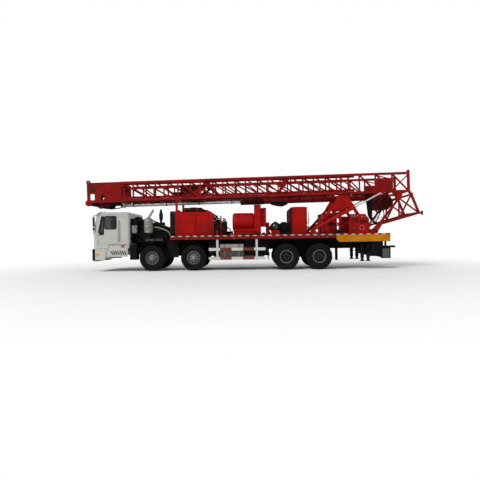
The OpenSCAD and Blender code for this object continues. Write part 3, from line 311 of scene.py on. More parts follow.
class Shape:
    """Points and faces gathered for one mesh piece, in metres. A shape for the left side is mirrored."""

    def __init__(self, side=None):
        self.points, self.faces = [], []
        self.side = side

    def add(self, points, faces):
        base = len(self.points)
        way = -1 if self.side == "left" else 1
        self.points += [(x, way * y, z) for x, y, z in points]
        self.faces += [tuple(base + i for i in face) for face in faces]
        return self

    def mirror(self):
        """Repeats the whole shape on the other side."""
        return self.add([(x, -y, z) for x, y, z in self.points], self.faces[:])

    def box(self, low, high):
        corners = [(x, y, z) for x in (low[0], high[0]) for y in (low[1], high[1]) for z in (low[2], high[2])]
        faces = [(0, 1, 3, 2), (4, 6, 7, 5), (0, 4, 5, 1), (2, 3, 7, 6), (0, 2, 6, 4), (1, 5, 7, 3)]
        return self.add(corners, faces)

    def lathe(self, profile, origin, axis, turns=32):
        """Turns (radius, distance) pairs round an axis. A radius of 0 closes the end."""
        along, u, v = axes_of(axis)
        origin = Vector(origin)
        points, rings, faces = [], [], []
        for radius, distance in profile:
            middle = origin + along * distance
            if radius == 0:
                rings.append([len(points)] * turns)
                points.append(middle)
            else:
                rings.append(list(range(len(points), len(points) + turns)))
                points += [middle + u * a + v * b for a, b in circle(0, 0, radius, turns)]
        for a, b in zip(rings, rings[1:]):
            for i in range(turns):
                j = (i + 1) % turns
                face = tuple(dict.fromkeys((a[i], a[j], b[j], b[i])))
                if len(face) > 2:
                    faces.append(face)
        return self.add(points, faces)

    def rod(self, a, b, radius, sides=12):
        a, b = Vector(a), Vector(b)
        length = (b - a).length
        return self.lathe([(0, 0), (radius, 0), (radius, length), (0, length)], a, b - a, sides)

    def ring(self, centre, axis, radius, thick, turns=40, sides=10):
        profile = circle(radius, 0, thick, sides)
        return self.lathe(profile + profile[:1], centre, axis, turns)

    def pipe(self, route, radius, sides=10, steps=6):
        """A round tube along a smooth curve through the route's points."""
        line = smooth_line(route, steps)
        _, u, _ = axes_of(line[1] - line[0])
        points, faces = [], []
        for i, p in enumerate(line):
            ahead = (line[min(i + 1, len(line) - 1)] - line[max(i - 1, 0)]).normalized()
            u = (u - ahead * u.dot(ahead)).normalized()
            v = ahead.cross(u)
            points += [p + u * a + v * b for a, b in circle(0, 0, radius, sides)]
        for i in range(len(line) - 1):
            for k in range(sides):
                j = (k + 1) % sides
                faces.append((i * sides + k, i * sides + j, (i + 1) * sides + j, (i + 1) * sides + k))
        faces.append(tuple(range(sides))[::-1])
        faces.append(tuple(range(len(points) - sides, len(points))))
        return self.add(points, faces)

    def plate(self, outline, start, end, plane="xz"):
        """A flat outline made solid from one place to another across its plane."""
        n = len(outline)
        faces = [tuple(range(n)), tuple(range(n, 2 * n))[::-1]]
        faces += [(i, n + i, n + (i + 1) % n, (i + 1) % n) for i in range(n)]
        return self.add(laid(outline, start, plane) + laid(outline, end, plane), faces)

    def loft(self, loops):
        """A closed skin over loops of points, each joined to the next and the last to the first."""
        n, count = len(loops[0]), len(loops)
        faces = [(k * n + i, k * n + (i + 1) % n, (k + 1) % count * n + (i + 1) % n, (k + 1) % count * n + i)
                 for k in range(count) for i in range(n)]
        return self.add([p for loop in loops for p in loop], faces)

    def band(self, outline, inner, start, end, plane="xz"):
        """A frame between an outline and one with as many points inside it."""
        loops = ((outline, start), (inner, start), (inner, end), (outline, end))
        return self.loft([laid(line, place, plane) for line, place in loops])

    def rim(self, outline, margin, start, end, plane="xz"):
        """A frame from an outline inwards by a margin."""
        return self.band(outline, inset(outline, margin), start, end, plane)

    def bolts(self, places, axis, radius=0.014, height=0.012):
        """Hexagon heads standing on a face."""
        for p in places:
            self.rod(p, Vector(p) + Vector(axis).normalized() * height, radius, 6)
        return self

    def bolt_ring(self, centre, axis, spread, count, radius, height):
        """Bolts round a centre, on an axis along x or along y."""
        x, y, z = centre
        if axis[0]:
            return self.bolts([(x, *p) for p in circle(y, z, spread, count)], axis, radius, height)
        return self.bolts([(p, y, q) for p, q in circle(x, z, spread, count)], axis, radius, height)

    def done(self, name, material, bevel=0.0, body="root", crease=35):
        """Makes the piece. Its side is added to a name that lacks it, and the mast's pieces are tilted."""
        if self.side and self.side not in name:
            name = f"{name}_{self.side}"
        if body in ("mast", "upper_mast"):
            self.points = [from_mast(p) for p in self.points]
        mesh = bpy.data.meshes.new(name)
        mesh.from_pydata(self.points, [], self.faces)
        mesh.validate()
        work = bmesh.new()
        work.from_mesh(mesh)
        bmesh.ops.recalc_face_normals(work, faces=work.faces)
        work.to_mesh(mesh)
        work.free()
        mesh.shade_smooth()
        mesh.set_sharp_from_angle(angle=math.radians(crease))
        mesh.materials.append(MAT[material])
        piece = bpy.data.objects.new(name, mesh)
        bpy.context.scene.collection.objects.link(piece)
        if bevel:
            soften = piece.modifiers.new("edges", "BEVEL")
            soften.width = bevel
            soften.segments = 2
            soften.limit_method = "ANGLE"
            soften.angle_limit = math.radians(40)
            soften.harden_normals = False
        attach(piece, body)
        return piece


# Wheels

TYRE_R = 0.5625
AXLE_Z = TYRE_R
AXLE_X = (-4.4, -2.6, 1.4, 2.8)
# A tyre's section from its middle: distance and radius up the wall, then distance and cut over the tread
WALL = [(0.115, 0.264), (0.119, 0.29), (0.134, 0.322), (0.1405, 0.33), (0.1405, 0.336), (0.147, 0.37),
        (0.1495, 0.4), (0.1495, 0.452), (0.1465, 0.484), (0.1475, 0.49), (0.1475, 0.497), (0.141, 0.52),
        (0.136, 0.534)]
DRIVE_TREAD = [(w, 0) for w in (0.131, 0.118, 0.095, 0.072, 0.05, 0.03, 0.0285, 0.007, 0.0055)]
STEER_TREAD = [(0.131, 0), (0.118, 0), (0.093, 0), (0.09, 1), (0.081, 1), (0.078, 0), (0.05, 0), (0.047, 1),
               (0.038, 1), (0.035, 0), (0.008, 0), (0.005, 1)]
TREAD_CUT = 0.013
TREAD_STEPS = 160


def cut_depth(step, w, cut, drive):
    """How deep the tread is cut at a step round the tyre and a distance from its middle."""
    if not drive:
        return TREAD_CUT * 0.55 if abs(w) > 0.092 and step % 4 == 0 else cut * TREAD_CUT
    # Narrow grooves round the tyre, then blocks in the middle and lugs across the shoulder
    if 0.027 < abs(w) < 0.032 or abs(w) < 0.006:
        return TREAD_CUT
    if abs(w) <= 0.04:
        return TREAD_CUT if (step + int(w * 180)) % 10 in (6, 7) else 0.0
    return TREAD_CUT + 0.004 if (step + (0 if w > 0 else 5)) % 10 in (0, 1, 2) else 0.0


def tread_tyre(name, x, y, side, body, drive):
    """A tyre with a cut tread: its section is swept round and steps down at the cuts."""
    tread = DRIVE_TREAD if drive else STEER_TREAD
    shape = Shape(side)
    loops = []
    for step in range(TREAD_STEPS):
        section = []
        for w, cut in tread:
            for at in (w, -w):
                drop = 0.001 + 0.01 * (w / 0.131) ** 3
                section.append((at, TYRE_R - drop - cut_depth(step, at, cut, drive)))
        section = WALL + section[::2] + section[::-2] + [(-w, r) for w, r in WALL[::-1]]
        angle = 2 * math.pi * step / TREAD_STEPS
        loops.append([(x + r * math.cos(angle), y + w, AXLE_Z + r * math.sin(angle)) for w, r in section])
    shape.loft(loops)
    # Raised marks of the side wall
    for low, high in zip(circle(x, AXLE_Z, 0.506, 48), circle(x, AXLE_Z, 0.528, 48)):
        shape.rod((low[0], y + 0.1435, low[1]), (high[0], y + 0.1375, high[1]), 0.0045, 4)
    return shape.done(name, "tyre", body=body, crease=28)


def wheel_trim(axle, side):
    """Nuts, hub cap, bead flange edge and valve on a wheel's outer side."""
    x = AXLE_X[axle]
    body = f"wheel_{axle + 1}_{side}"
    front = axle < 2
    # Middle of the wheel, and the places of its nuts, hub and the dark disc of painted shade behind the hand
    # holes out from there
    middle, seat, hub, shade_disc_out = (1.02, 0.084, 0.134, 0.03) if front else (0.93, 0.014, 0.188, 0.001)
    nuts = Shape(side)
    for px, pz in circle(x, AXLE_Z, 0.128 if front else 0.14, 10, 0.5):
        nuts.lathe([(0, 0), (0.021, 0), (0.021, 0.006), (0.0165, 0.006), (0.0165, 0.024), (0.013, 0.028),
                    (0, 0.028)],
                   (px, middle + seat, pz), (0, 1, 0), 6)
        nuts.rod((px, middle + seat, pz), (px, middle + seat + 0.042, pz), 0.008, 8)
    nuts.done(f"wheel_nuts_{axle + 1}", "steel", 0.001, body)
    # Hub cap with its ring of small bolts
    r = 0.078 if front else 0.084
    foot = middle + hub + (0.01 if front else 0.022)
    cap = Shape(side)
    cap.lathe([(0, 0), (r, 0), (r, 0.01), (r * 0.86, 0.016), (r * 0.8, 0.03), (r * 0.5, 0.036), (0, 0.037)],
              (x, foot, AXLE_Z), (0, 1, 0), 28)
    cap.bolt_ring((x, foot + 0.008, AXLE_Z), (0, 1, 0), r * 0.92, 8, 0.007, 0.008)
    cap.done(f"hub_cap_{axle + 1}", "steel_grey" if front else "machine_dark", 0.001, body)
    # Dark rubber rings in the front rims' hand holes, square to the sloping disc: painted shade that makes
    # the holes read dark
    if front:
        hole_shade_rings = Shape(side)
        for out_x, out_z in circle(0, 0, 1, 10):
            hole_shade_rings.lathe([(0.021, -0.006), (0.0305, -0.006), (0.0305, 0.003), (0.027, 0.005), (0.021, 0.003)],
                       (x + 0.204 * out_x, 1.0845, AXLE_Z + 0.204 * out_z),
                       (0.35 * out_x, 0.94, 0.35 * out_z), 20)
        hole_shade_rings.done(f"hand_hole_lips_{axle + 1}", "tyre", body=body)
    # Painted shade: a dark disc behind the hand holes, for the shade inside the wheel
    far = 0.228 if front else 0.212
    back = Shape(side)
    back.lathe([(0.17, 0), (far, 0), (far, 0.002), (0.17, 0.002), (0.17, 0)],
               (x, middle + shade_disc_out, AXLE_Z), (0, 1, 0), 40)
    back.done(f"hand_hole_lining_{axle + 1}", "tyre", body=body)
    # Lock ring of the rim and the valve stem
    y = (1.02 if front else 1.1) + 0.115
    ring = Shape(side)
    ring.ring((x, y + 0.008, AXLE_Z), (0, 1, 0), 0.272, 0.007, 56, 8)
    ring.ring((x, y - 0.012, AXLE_Z), (0, 1, 0), 0.247, 0.005, 56, 8)
    ring.pipe([(x + 0.235, y - 0.07, AXLE_Z + 0.02), (x + 0.243, y - 0.03, AXLE_Z + 0.03),
               (x + 0.236, y + 0.004, AXLE_Z + 0.03)], 0.005, 8)
    ring.done(f"rim_ring_{axle + 1}", "rim_grey" if front else "steel_grey", body=body)


def wheels():
    for axle, x in enumerate(AXLE_X):
        for side in SIDES:
            end = f"{axle + 1}_{side}"
            if axle < 2:
                tyre = tread_tyre(f"tread_tyre_{end}", x, 1.02, side, f"wheel_{end}", False)
                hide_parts(f"tyre_{end}")
            else:
                for twin, y in (("outer", 1.1), ("inner", 0.76)):
                    tyre = tread_tyre(f"tread_tyre_{end}_{twin}", x, y, side, f"wheel_{end}", True)
                    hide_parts(f"tyres_{end}")
            wheel_trim(axle, side)


# Cab

CAB_Y = 1.225
CAB_FLOOR = 1.24
FRONT_X = -6.97
BUMPER_X = FRONT_X - 0.06


def doors(side):
    body = f"door_{side}"
    inside = CAB_Y - 0.06
    window = rounded(-6.44, 1.84, -5.93, 2.4, 0.06)
    quarter = [(-6.5, 1.64), (-6.49, 2.37), (-6.553, 2.37), (-6.69, 1.74), (-6.69, 1.645), (-6.665, 1.62),
               (-6.52, 1.62)]
    seal, glass = Shape(side), Shape(side)
    for line, outside in ((window, -0.014), (quarter, -0.03)):
        seal.band(inset(line, outside), inset(line, 0.016), CAB_Y + 0.006, CAB_Y - 0.016)
        seal.band(inset(line, -0.01), inset(line, 0.014), inside - 0.004, inside + 0.014)
        glass.plate(inset(line, 0.003), CAB_Y - 0.022, CAB_Y - 0.028)
    seal.done("window_seal", "tyre", body=body)
    glass.done("door_glass", "window", body=body)
    # Handle, lock, inner panel with arm rest and winder
    handle = Shape(side)
    handle.plate(rounded(-6.15, 1.44, -5.905, 1.5, 0.022), CAB_Y + 0.001, CAB_Y + 0.006)
    handle.rod((-5.93, CAB_Y + 0.005, 1.47), (-5.93, CAB_Y + 0.012, 1.47), 0.013, 16)
    handle.done("door_handle", "cab_white", 0.001, body)
    inner = Shape(side)
    inner.plate(rounded(-6.69, 1.235, -5.93, 1.595, 0.06), CAB_Y - 0.061, CAB_Y - 0.075)
    inner.plate(rounded(-6.4, 1.46, -6.0, 1.53, 0.03), CAB_Y - 0.075, CAB_Y - 0.13)
    inner.rod((-6.25, CAB_Y - 0.075, 1.3), (-6.25, CAB_Y - 0.11, 1.3), 0.016, 14)
    inner.pipe([(-6.25, CAB_Y - 0.105, 1.3), (-6.2, CAB_Y - 0.11, 1.33), (-6.15, CAB_Y - 0.112, 1.34)],
               0.009, 8)
    inner.done("door_trim", "interior", 0.004, body)


def mirrors(side):
    # Loop from the roof's corner down in front of the pillar to the front wall
    y = 1.262
    arm = Shape(side)
    arm.pipe([(-6.48, 1.13, 2.545), (-6.56, 1.19, 2.59), (-6.68, y, 2.52), (-6.8, y, 2.44), (-6.9, y, 2.42)],
             0.016)
    arm.pipe([(-6.885, y, 2.425), (-6.895, y, 2.1), (-6.905, y, 1.78), (-6.945, 1.24, 1.7),
              (-6.93, 1.17, 1.66)],
             0.013)
    arm.lathe([(0, 0), (0.028, 0), (0.028, 0.014), (0.018, 0.02), (0, 0.02)],
              (-6.48, 1.12, 2.54), (0, 0.3, 1), 14)
    arm.done("mirror_arm", "tyre")
    head, face = Shape(side), Shape(side)
    for z0, z1 in ((1.96, 2.37), (1.8, 1.93)):
        outline = rounded(1.165, z0, 1.318, z1, 0.032)
        head.plate(outline, -6.925, -6.88, "yz")
        head.plate(inset(outline, 0.012), -6.94, -6.925, "yz")
        face.plate(inset(outline, 0.01), -6.881, -6.877, "yz")
    head.done("mirror_head", "tyre", 0.006)
    face.done("mirror_glass", "chrome_rod")


def cab_front():
    grille = Shape()
    grille.plate(rounded(-0.9, 1.12, 0.9, 1.56, 0.05), FRONT_X - 0.004, FRONT_X + 0.004, "yz")
    grille.done("grille_panel", "tyre", 0.002)
    slats = Shape()
    for z in [1.155 + i * 0.066 for i in range(6)]:
        slats.box((FRONT_X - 0.02, -0.865, z), (FRONT_X - 0.003, 0.865, z + 0.034))
    slats.done("grille_slats", "chassis_black", 0.004)
    surround = Shape()
    surround.rim(rounded(-0.925, 1.095, 0.925, 1.585, 0.06), 0.022, FRONT_X - 0.016, FRONT_X + 0.006, "yz")
    surround.done("grille_surround", "cab_white", 0.003)
    # Wipers on their spindles, parked along the windscreen's foot
    wiper = Shape()
    for y in (-0.55, 0.25):
        wiper.rod((-6.925, y, 1.665), (-6.975, y, 1.672), 0.014, 14)
        wiper.pipe([(-6.968, y, 1.672), (-6.972, y + 0.24, 1.705), (-6.962, y + 0.47, 1.735)], 0.007, 8)
        wiper.box((-6.965, y + 0.09, 1.722), (-6.953, y + 0.68, 1.734))
        wiper.box((-6.957, y + 0.08, 1.716), (-6.95, y + 0.69, 1.722))
    wiper.done("wipers", "tyre")


def head_lamps(side):
    """Head lamps set in the bumper's openings, with their bezels, and the turn lamps on the corners."""
    bezel, lamp, glass, turn = Shape(side), Shape(side), Shape(side), Shape(side)
    line = rounded(0.694, 0.644, 1.066, 0.856, 0.036)
    bezel.rim(line, 0.016, BUMPER_X + 0.004, BUMPER_X + 0.07, "yz")
    bezel.plate(inset(line, 0.014), BUMPER_X + 0.056, BUMPER_X + 0.07, "yz")
    bezel.done("lamp_bezel", "chassis_black")
    for y in (0.795, 0.965):
        lamp.lathe([(0.07, 0), (0.066, 0.012), (0.05, 0.03), (0.022, 0.042), (0, 0.044)],
                   (BUMPER_X + 0.012, y, 0.75), (1, 0, 0), 28)
        glass.lathe([(0, -0.012), (0.04, -0.009), (0.064, 0), (0.07, 0.006), (0.07, 0.014)],
                    (BUMPER_X + 0.004, y, 0.75), (1, 0, 0), 28)
    lamp.done("head_lamp_bowl", "chrome_rod")
    glass.done("head_lamp", "clear_lens")
    turn.plate(rounded(-6.84, 0.72, -6.7, 0.79, 0.02), CAB_Y + 0.012, CAB_Y + 0.024)
    turn.done("turn_lamp", "amber_lens", 0.003)


def bumper():
    """Towing pins, black corners and the lower lip."""
    pins = Shape()
    for y in (-0.3, 0.3):
        pins.lathe([(0, 0), (0.03, 0), (0.03, 0.01), (0.022, 0.014), (0.022, 0.06), (0, 0.06)],
                   (BUMPER_X - 0.01, y, 0.95), (1, 0, 0), 18)
    pins.done("towing_pins", "chassis_black")
    corner = Shape()
    middle, r = (BUMPER_X + 0.16, 1.08), 0.164
    corner.plate(arc(*middle, r, 180, 90, 9) + arc(*middle, r - 0.012, 90, 180, 9), 0.48, 0.985, "xy")
    corner.mirror().done("bumper_corners", "tyre", 0.002)
    lip = Shape()
    front, back = BUMPER_X + 0.02, BUMPER_X + 0.14
    lip.plate([(front, 0.47), (back, 0.44), (back, 0.5), (front, 0.5)], -1.05, 1.05)
    lip.done("bumper_lip", "tyre", 0.004)


def cab_roof():
    lamps, feet = Shape(), Shape()
    for y in (-0.95, -0.32, 0.0, 0.32, 0.95):
        feet.plate(rounded(y - 0.065, 2.565, y + 0.065, 2.59, 0.01), -6.575, -6.445, "yz")
        lamps.lathe([(0.048, 0), (0.048, 0.014), (0.036, 0.032), (0.016, 0.04), (0, 0.041)],
                    (-6.51, y, 2.588), (-0.25, 0, 1), 20)
    feet.done("roof_lamp_feet", "chassis_black", 0.002)
    lamps.done("roof_lamps", "amber_lens")
    # Pressed ribs, gutter and the roof hatch
    ribs = Shape()
    for y in (0.55, 0.8):
        ribs.plate([(-6.38, 2.578), (-5.56, 2.578), (-5.58, 2.59), (-6.36, 2.59)], y - 0.03, y + 0.03)
    ribs.mirror()
    ribs.plate([(-6.25, 2.578), (-5.65, 2.578), (-5.66, 2.606), (-6.24, 2.606)], -0.33, 0.33)
    ribs.done("roof_ribs", "cab_white", 0.006)
    gutter = Shape().box((-6.56, CAB_Y + 0.001, 2.476), (-5.47, CAB_Y + 0.014, 2.49))
    gutter.mirror().done("roof_gutters", "cab_white", 0.002)
    horn = Shape()
    for y, length in ((0.62, 0.34), (0.72, 0.27)):
        horn.lathe([(0, 0), (0.02, 0), (0.02, 0.06), (0.012, 0.07), (0.016, length - 0.09), (0.05, length),
                    (0.046, length), (0.01, length - 0.09), (0, length - 0.1)], (-5.9, y, 2.64), (-1, 0, 0),
                    20)
        horn.box((-6.02, y - 0.01, 2.58), (-5.98, y + 0.01, 2.625))
    horn.done("air_horns", "chrome_rod")


def cab_side(side):
    # Pressed seams on the side behind the door, and the grab rail by the door's rear edge
    trim = Shape(side)
    trim.box((-5.835, CAB_Y, 1.19), (-5.823, CAB_Y + 0.004, 2.44))
    trim.plate(rounded(-5.78, 1.3, -5.48, 2.3, 0.05), CAB_Y, CAB_Y + 0.005)
    trim.done("side_pressing", "cab_white", 0.003)
    rail = Shape(side)
    out = ((0.002, 1.32), (0.045, 1.345), (0.05, 1.6), (0.05, 1.9), (0.045, 2.155), (0.002, 2.18))
    rail.pipe([(-5.8, CAB_Y + y, z) for y, z in out], 0.012)
    rail.done("grab_rail", "tyre")
    vent = Shape(side)
    for z in [2.33 + i * 0.022 for i in range(5)]:
        vent.box((-5.7, CAB_Y, z), (-5.52, CAB_Y + 0.004, z + 0.01))
    vent.done("cab_vent", "cab_white")
    # Marker lamp on the louvred panel
    lens, holder = Shape(side), Shape(side)
    lens.plate(rounded(-5.72, 1.06, -5.59, 1.12, 0.02), CAB_Y + 0.016, CAB_Y + 0.034)
    lens.done("side_marker", "red_lens", 0.003)
    holder.plate(rounded(-5.735, 1.046, -5.575, 1.134, 0.024), CAB_Y - 0.001, CAB_Y + 0.017)
    holder.done("side_marker_base", "tyre", 0.002)
    # Step below the door, hung from the panel
    step = Shape(side)
    for x in [-6.4 + k * 0.045 for k in range(6)]:
        step.box((x, 1.02, 0.596), (x + 0.018, 1.232, 0.616))
    step.box((-6.405, 1.222, 0.576), (-6.14, 1.236, 0.626))
    for x in (-6.4, -6.156):
        step.box((x, 1.2, 0.58), (x + 0.014, 1.222, 0.66))
    step.done("cab_steps", "steel_grey", 0.002)
    # Pressed insert over the louvres, its seven slanted slots drawn as dark plates that paint in the shade of
    # their hollows, and the panel's pressed edge
    insert, slots, pressed = Shape(side), Shape(side), Shape(side)
    insert.plate(rounded(-6.23, 0.722, -5.478, 0.902, 0.02), CAB_Y + 0.0145, CAB_Y + 0.017)
    for x in [-6.196 + i * 0.097 for i in range(7)]:
        slots.plate([(x, 0.892), (x + 0.052, 0.892), (x + 0.128, 0.732), (x + 0.076, 0.732)],
                    CAB_Y + 0.016, CAB_Y + 0.0185)
    insert.done("louvre_insert", "cab_white", 0.001)
    slots.done("louvre_slots", "tyre")
    line = [(-6.395, 0.668), (-5.515, 0.668), (-5.47, 0.735), (-5.47, 1.085), (-5.535, 1.15), (-6.24, 1.15)]
    pressed.rim(line, 0.009, CAB_Y + 0.0145, CAB_Y + 0.019)
    pressed.done("panel_edge", "cab_white", 0.0015)
    # Dark strips in the gap above the panel and along its slanted front: a dark joint, with the shadow the
    # raised panel casts there painted in
    strip = Shape(side)
    strip.plate([(-6.262, 1.152), (-5.52, 1.152), (-5.47, 1.105), (-5.452, 1.118), (-5.512, 1.176),
                 (-6.275, 1.176)], CAB_Y - 0.001, CAB_Y + 0.0165)
    strip.plate([(-6.424, 0.668), (-6.403, 0.668), (-6.25, 1.152), (-6.271, 1.152)],
                CAB_Y - 0.001, CAB_Y + 0.0155)
    strip.done("panel_seal", "seam_grey")


def seats(side):
    """Padded seats over the plain ones. Places are a distance along and a height over the floor."""
    cushion = [(-6.185, 0.3), (-6.2, 0.375), (-6.15, 0.42), (-5.76, 0.4), (-5.7, 0.34), (-5.705, 0.29)]
    back = [(-5.815, 0.335), (-5.7, 0.33), (-5.552, 1.04), (-5.585, 1.075), (-5.65, 1.07), (-5.69, 1.0),
            (-5.8, 0.5)]
    for name, line in (("seat_cushion", cushion), ("seat_back", back)):
        pad = Shape(side).plate([(x, CAB_FLOOR + z) for x, z in line], 0.346, 0.854)
        piece = pad.done(name, "seat_cloth", 0.03)


def dash():
    dials, lever, shelf = Shape(), Shape(), Shape()
    for y in (-0.78, -0.6, -0.42):
        dials.lathe([(0, 0), (0.06, 0), (0.066, 0.01), (0.06, 0.018), (0, 0.014)],
                    (-6.51, y, CAB_FLOOR + 0.395), (0.9, 0, 0.45), 24)
    dials.done("dash_dials", "clear_lens")
    lever.pipe([(-6.3, -0.18, CAB_FLOOR), (-6.31, -0.19, CAB_FLOOR + 0.25), (-6.28, -0.2, CAB_FLOOR + 0.48)],
               0.011, 8)
    lever.lathe([(0, 0), (0.026, 0.006), (0.03, 0.03), (0.018, 0.055), (0, 0.06)],
                (-6.28, -0.2, CAB_FLOOR + 0.47), (0.1, 0, 1), 16)
    lever.done("gear_lever", "tyre")
    binnacle = ((-6.64, 0.46), (-6.52, 0.425), (-6.54, 0.5), (-6.64, 0.53))
    ledge = ((-6.86, 0.425), (-6.64, 0.455), (-6.64, 0.475), (-6.86, 0.45))
    shelf.plate([(x, CAB_FLOOR + z) for x, z in binnacle], -0.9, -0.3)
    shelf.plate([(x, CAB_FLOOR + z) for x, z in ledge], -1.05, 1.05)
    shelf.done("dash_top", "interior", 0.012)


# Between the cab and the hood, and under the deck

CANISTER = (-4.6, -0.91)
CLEANER = (-5.18, -0.88)
STACK = (-4.06, -0.82)
UP = (0, 0, 1)


def exhaust_and_intake():
    stack = Shape()
    # Clamps, cap and elbow of the intake stack
    for z in (1.98, 2.19):
        stack.lathe(collar(0.0505, 0.058, 0.028, 0.002), (*STACK, z), UP, 24)
    for z in (2.29, 2.44):
        stack.ring((*STACK, z), UP, 0.083, 0.006, 30, 6)
    stack.lathe([(0.04, 0), (0.055, 0.004), (0.055, 0.03), (0.03, 0.052), (0, 0.056)], (*STACK, 2.64), UP, 24)
    stack.pipe([(*STACK, 1.79), (-4.13, -0.82, 1.76), (-4.24, -0.79, 1.77), (-4.33, -0.7, 1.8)], 0.05, 14)
    stack.done("intake_stack", "machine_dark", 0.002)
    # Bands, ends and pipe clamps of the canister, and the holes in its heat shield
    shield = Shape()
    for z in (1.73, 1.96, 2.19):
        shield.ring((*CANISTER, z), UP, 0.19, 0.01, 44, 8)
    shield.lathe([(0.185, 0), (0.16, 0.035), (0.105, 0.06), (0.056, 0.066)], (*CANISTER, 2.248), UP, 36)
    shield.lathe(collar(0.0565, 0.066, 0.025, 0.003), (*CANISTER, 2.3), UP, 26)
    lean = Vector((math.sin(math.radians(32)), 0, math.cos(math.radians(32))))
    for d in (0.18, 0.39):
        shield.lathe(collar(0.0465, 0.052, 0.022, 0.002), Vector((*CANISTER, 2.31)) + lean * d, lean, 24)
    shield.lathe([(0.19, 0), (0.165, -0.03), (0.07, -0.04), (0, -0.04)], (*CANISTER, 1.682), UP, 36)
    shield.done("canister_bands", "steel")
    dots = Shape()
    for z, turn in ((1.785, 0), (1.847, 0.5), (1.909, 0), (2.033, 0), (2.095, 0.5)):
        near, far = circle(*CANISTER, 0.1895, 30, turn), circle(*CANISTER, 0.1915, 30, turn)
        for p, q in zip(near, far):
            dots.rod((*p, z), (*q, z), 0.009, 8)
    dots.done("canister_holes", "chassis_black")


def engine_hoses():
    hose = Shape()
    hose.pipe([(-5.15, -0.52, 2.08), (-4.95, -0.61, 2.18), (-4.7, -0.56, 2.12), (-4.45, -0.48, 2.06),
               (-4.25, -0.52, 1.98)], 0.04, 12)
    hose.pipe([(-5.2, -0.3, 2.13), (-5.0, -0.18, 2.26), (-4.6, -0.15, 2.23), (-4.3, -0.25, 2.12)], 0.032)
    hose.pipe([(-5.25, -0.68, 1.6), (-5.05, -0.76, 1.45), (-4.9, -0.74, 1.35), (-4.75, -0.6, 1.3)], 0.026)
    hose.pipe([(-3.9, -0.72, 1.62), (-3.82, -0.8, 1.48), (-3.78, -0.82, 1.3), (-3.8, -0.7, 1.16)], 0.028)
    hose.pipe([(-4.3, -0.69, 1.7), (-4.05, -0.76, 1.56), (-3.9, -0.76, 1.42), (-3.85, -0.69, 1.28)], 0.02, 8)
    hose.pipe([(-5.28, 0.3, 2.13), (-5.05, 0.42, 2.22), (-4.7, 0.5, 2.1), (-4.4, 0.62, 1.9)], 0.034)
    hose.done("engine_hoses", "tyre")
    # Pale hose that runs down to the radiator's foot
    pale = Shape()
    pale.pipe([(-4.42, -0.8, 1.9), (-4.25, -0.84, 1.91), (-4.05, -0.85, 1.85), (-3.85, -0.85, 1.77),
               (-3.72, -0.85, 1.68), (-3.65, -0.85, 1.54)], 0.03, 12)
    pale.done("pale_hose", "pale_hose")
    clips = Shape()
    clips.ring((-4.3, -0.74, 1.79), (1, -0.9, 0.2), 0.052, 0.004, 24, 6)
    clips.ring((-4.95, -0.61, 2.18), (1, 0, 0), 0.042, 0.004, 24, 6)
    clips.done("hose_clips", "steel")


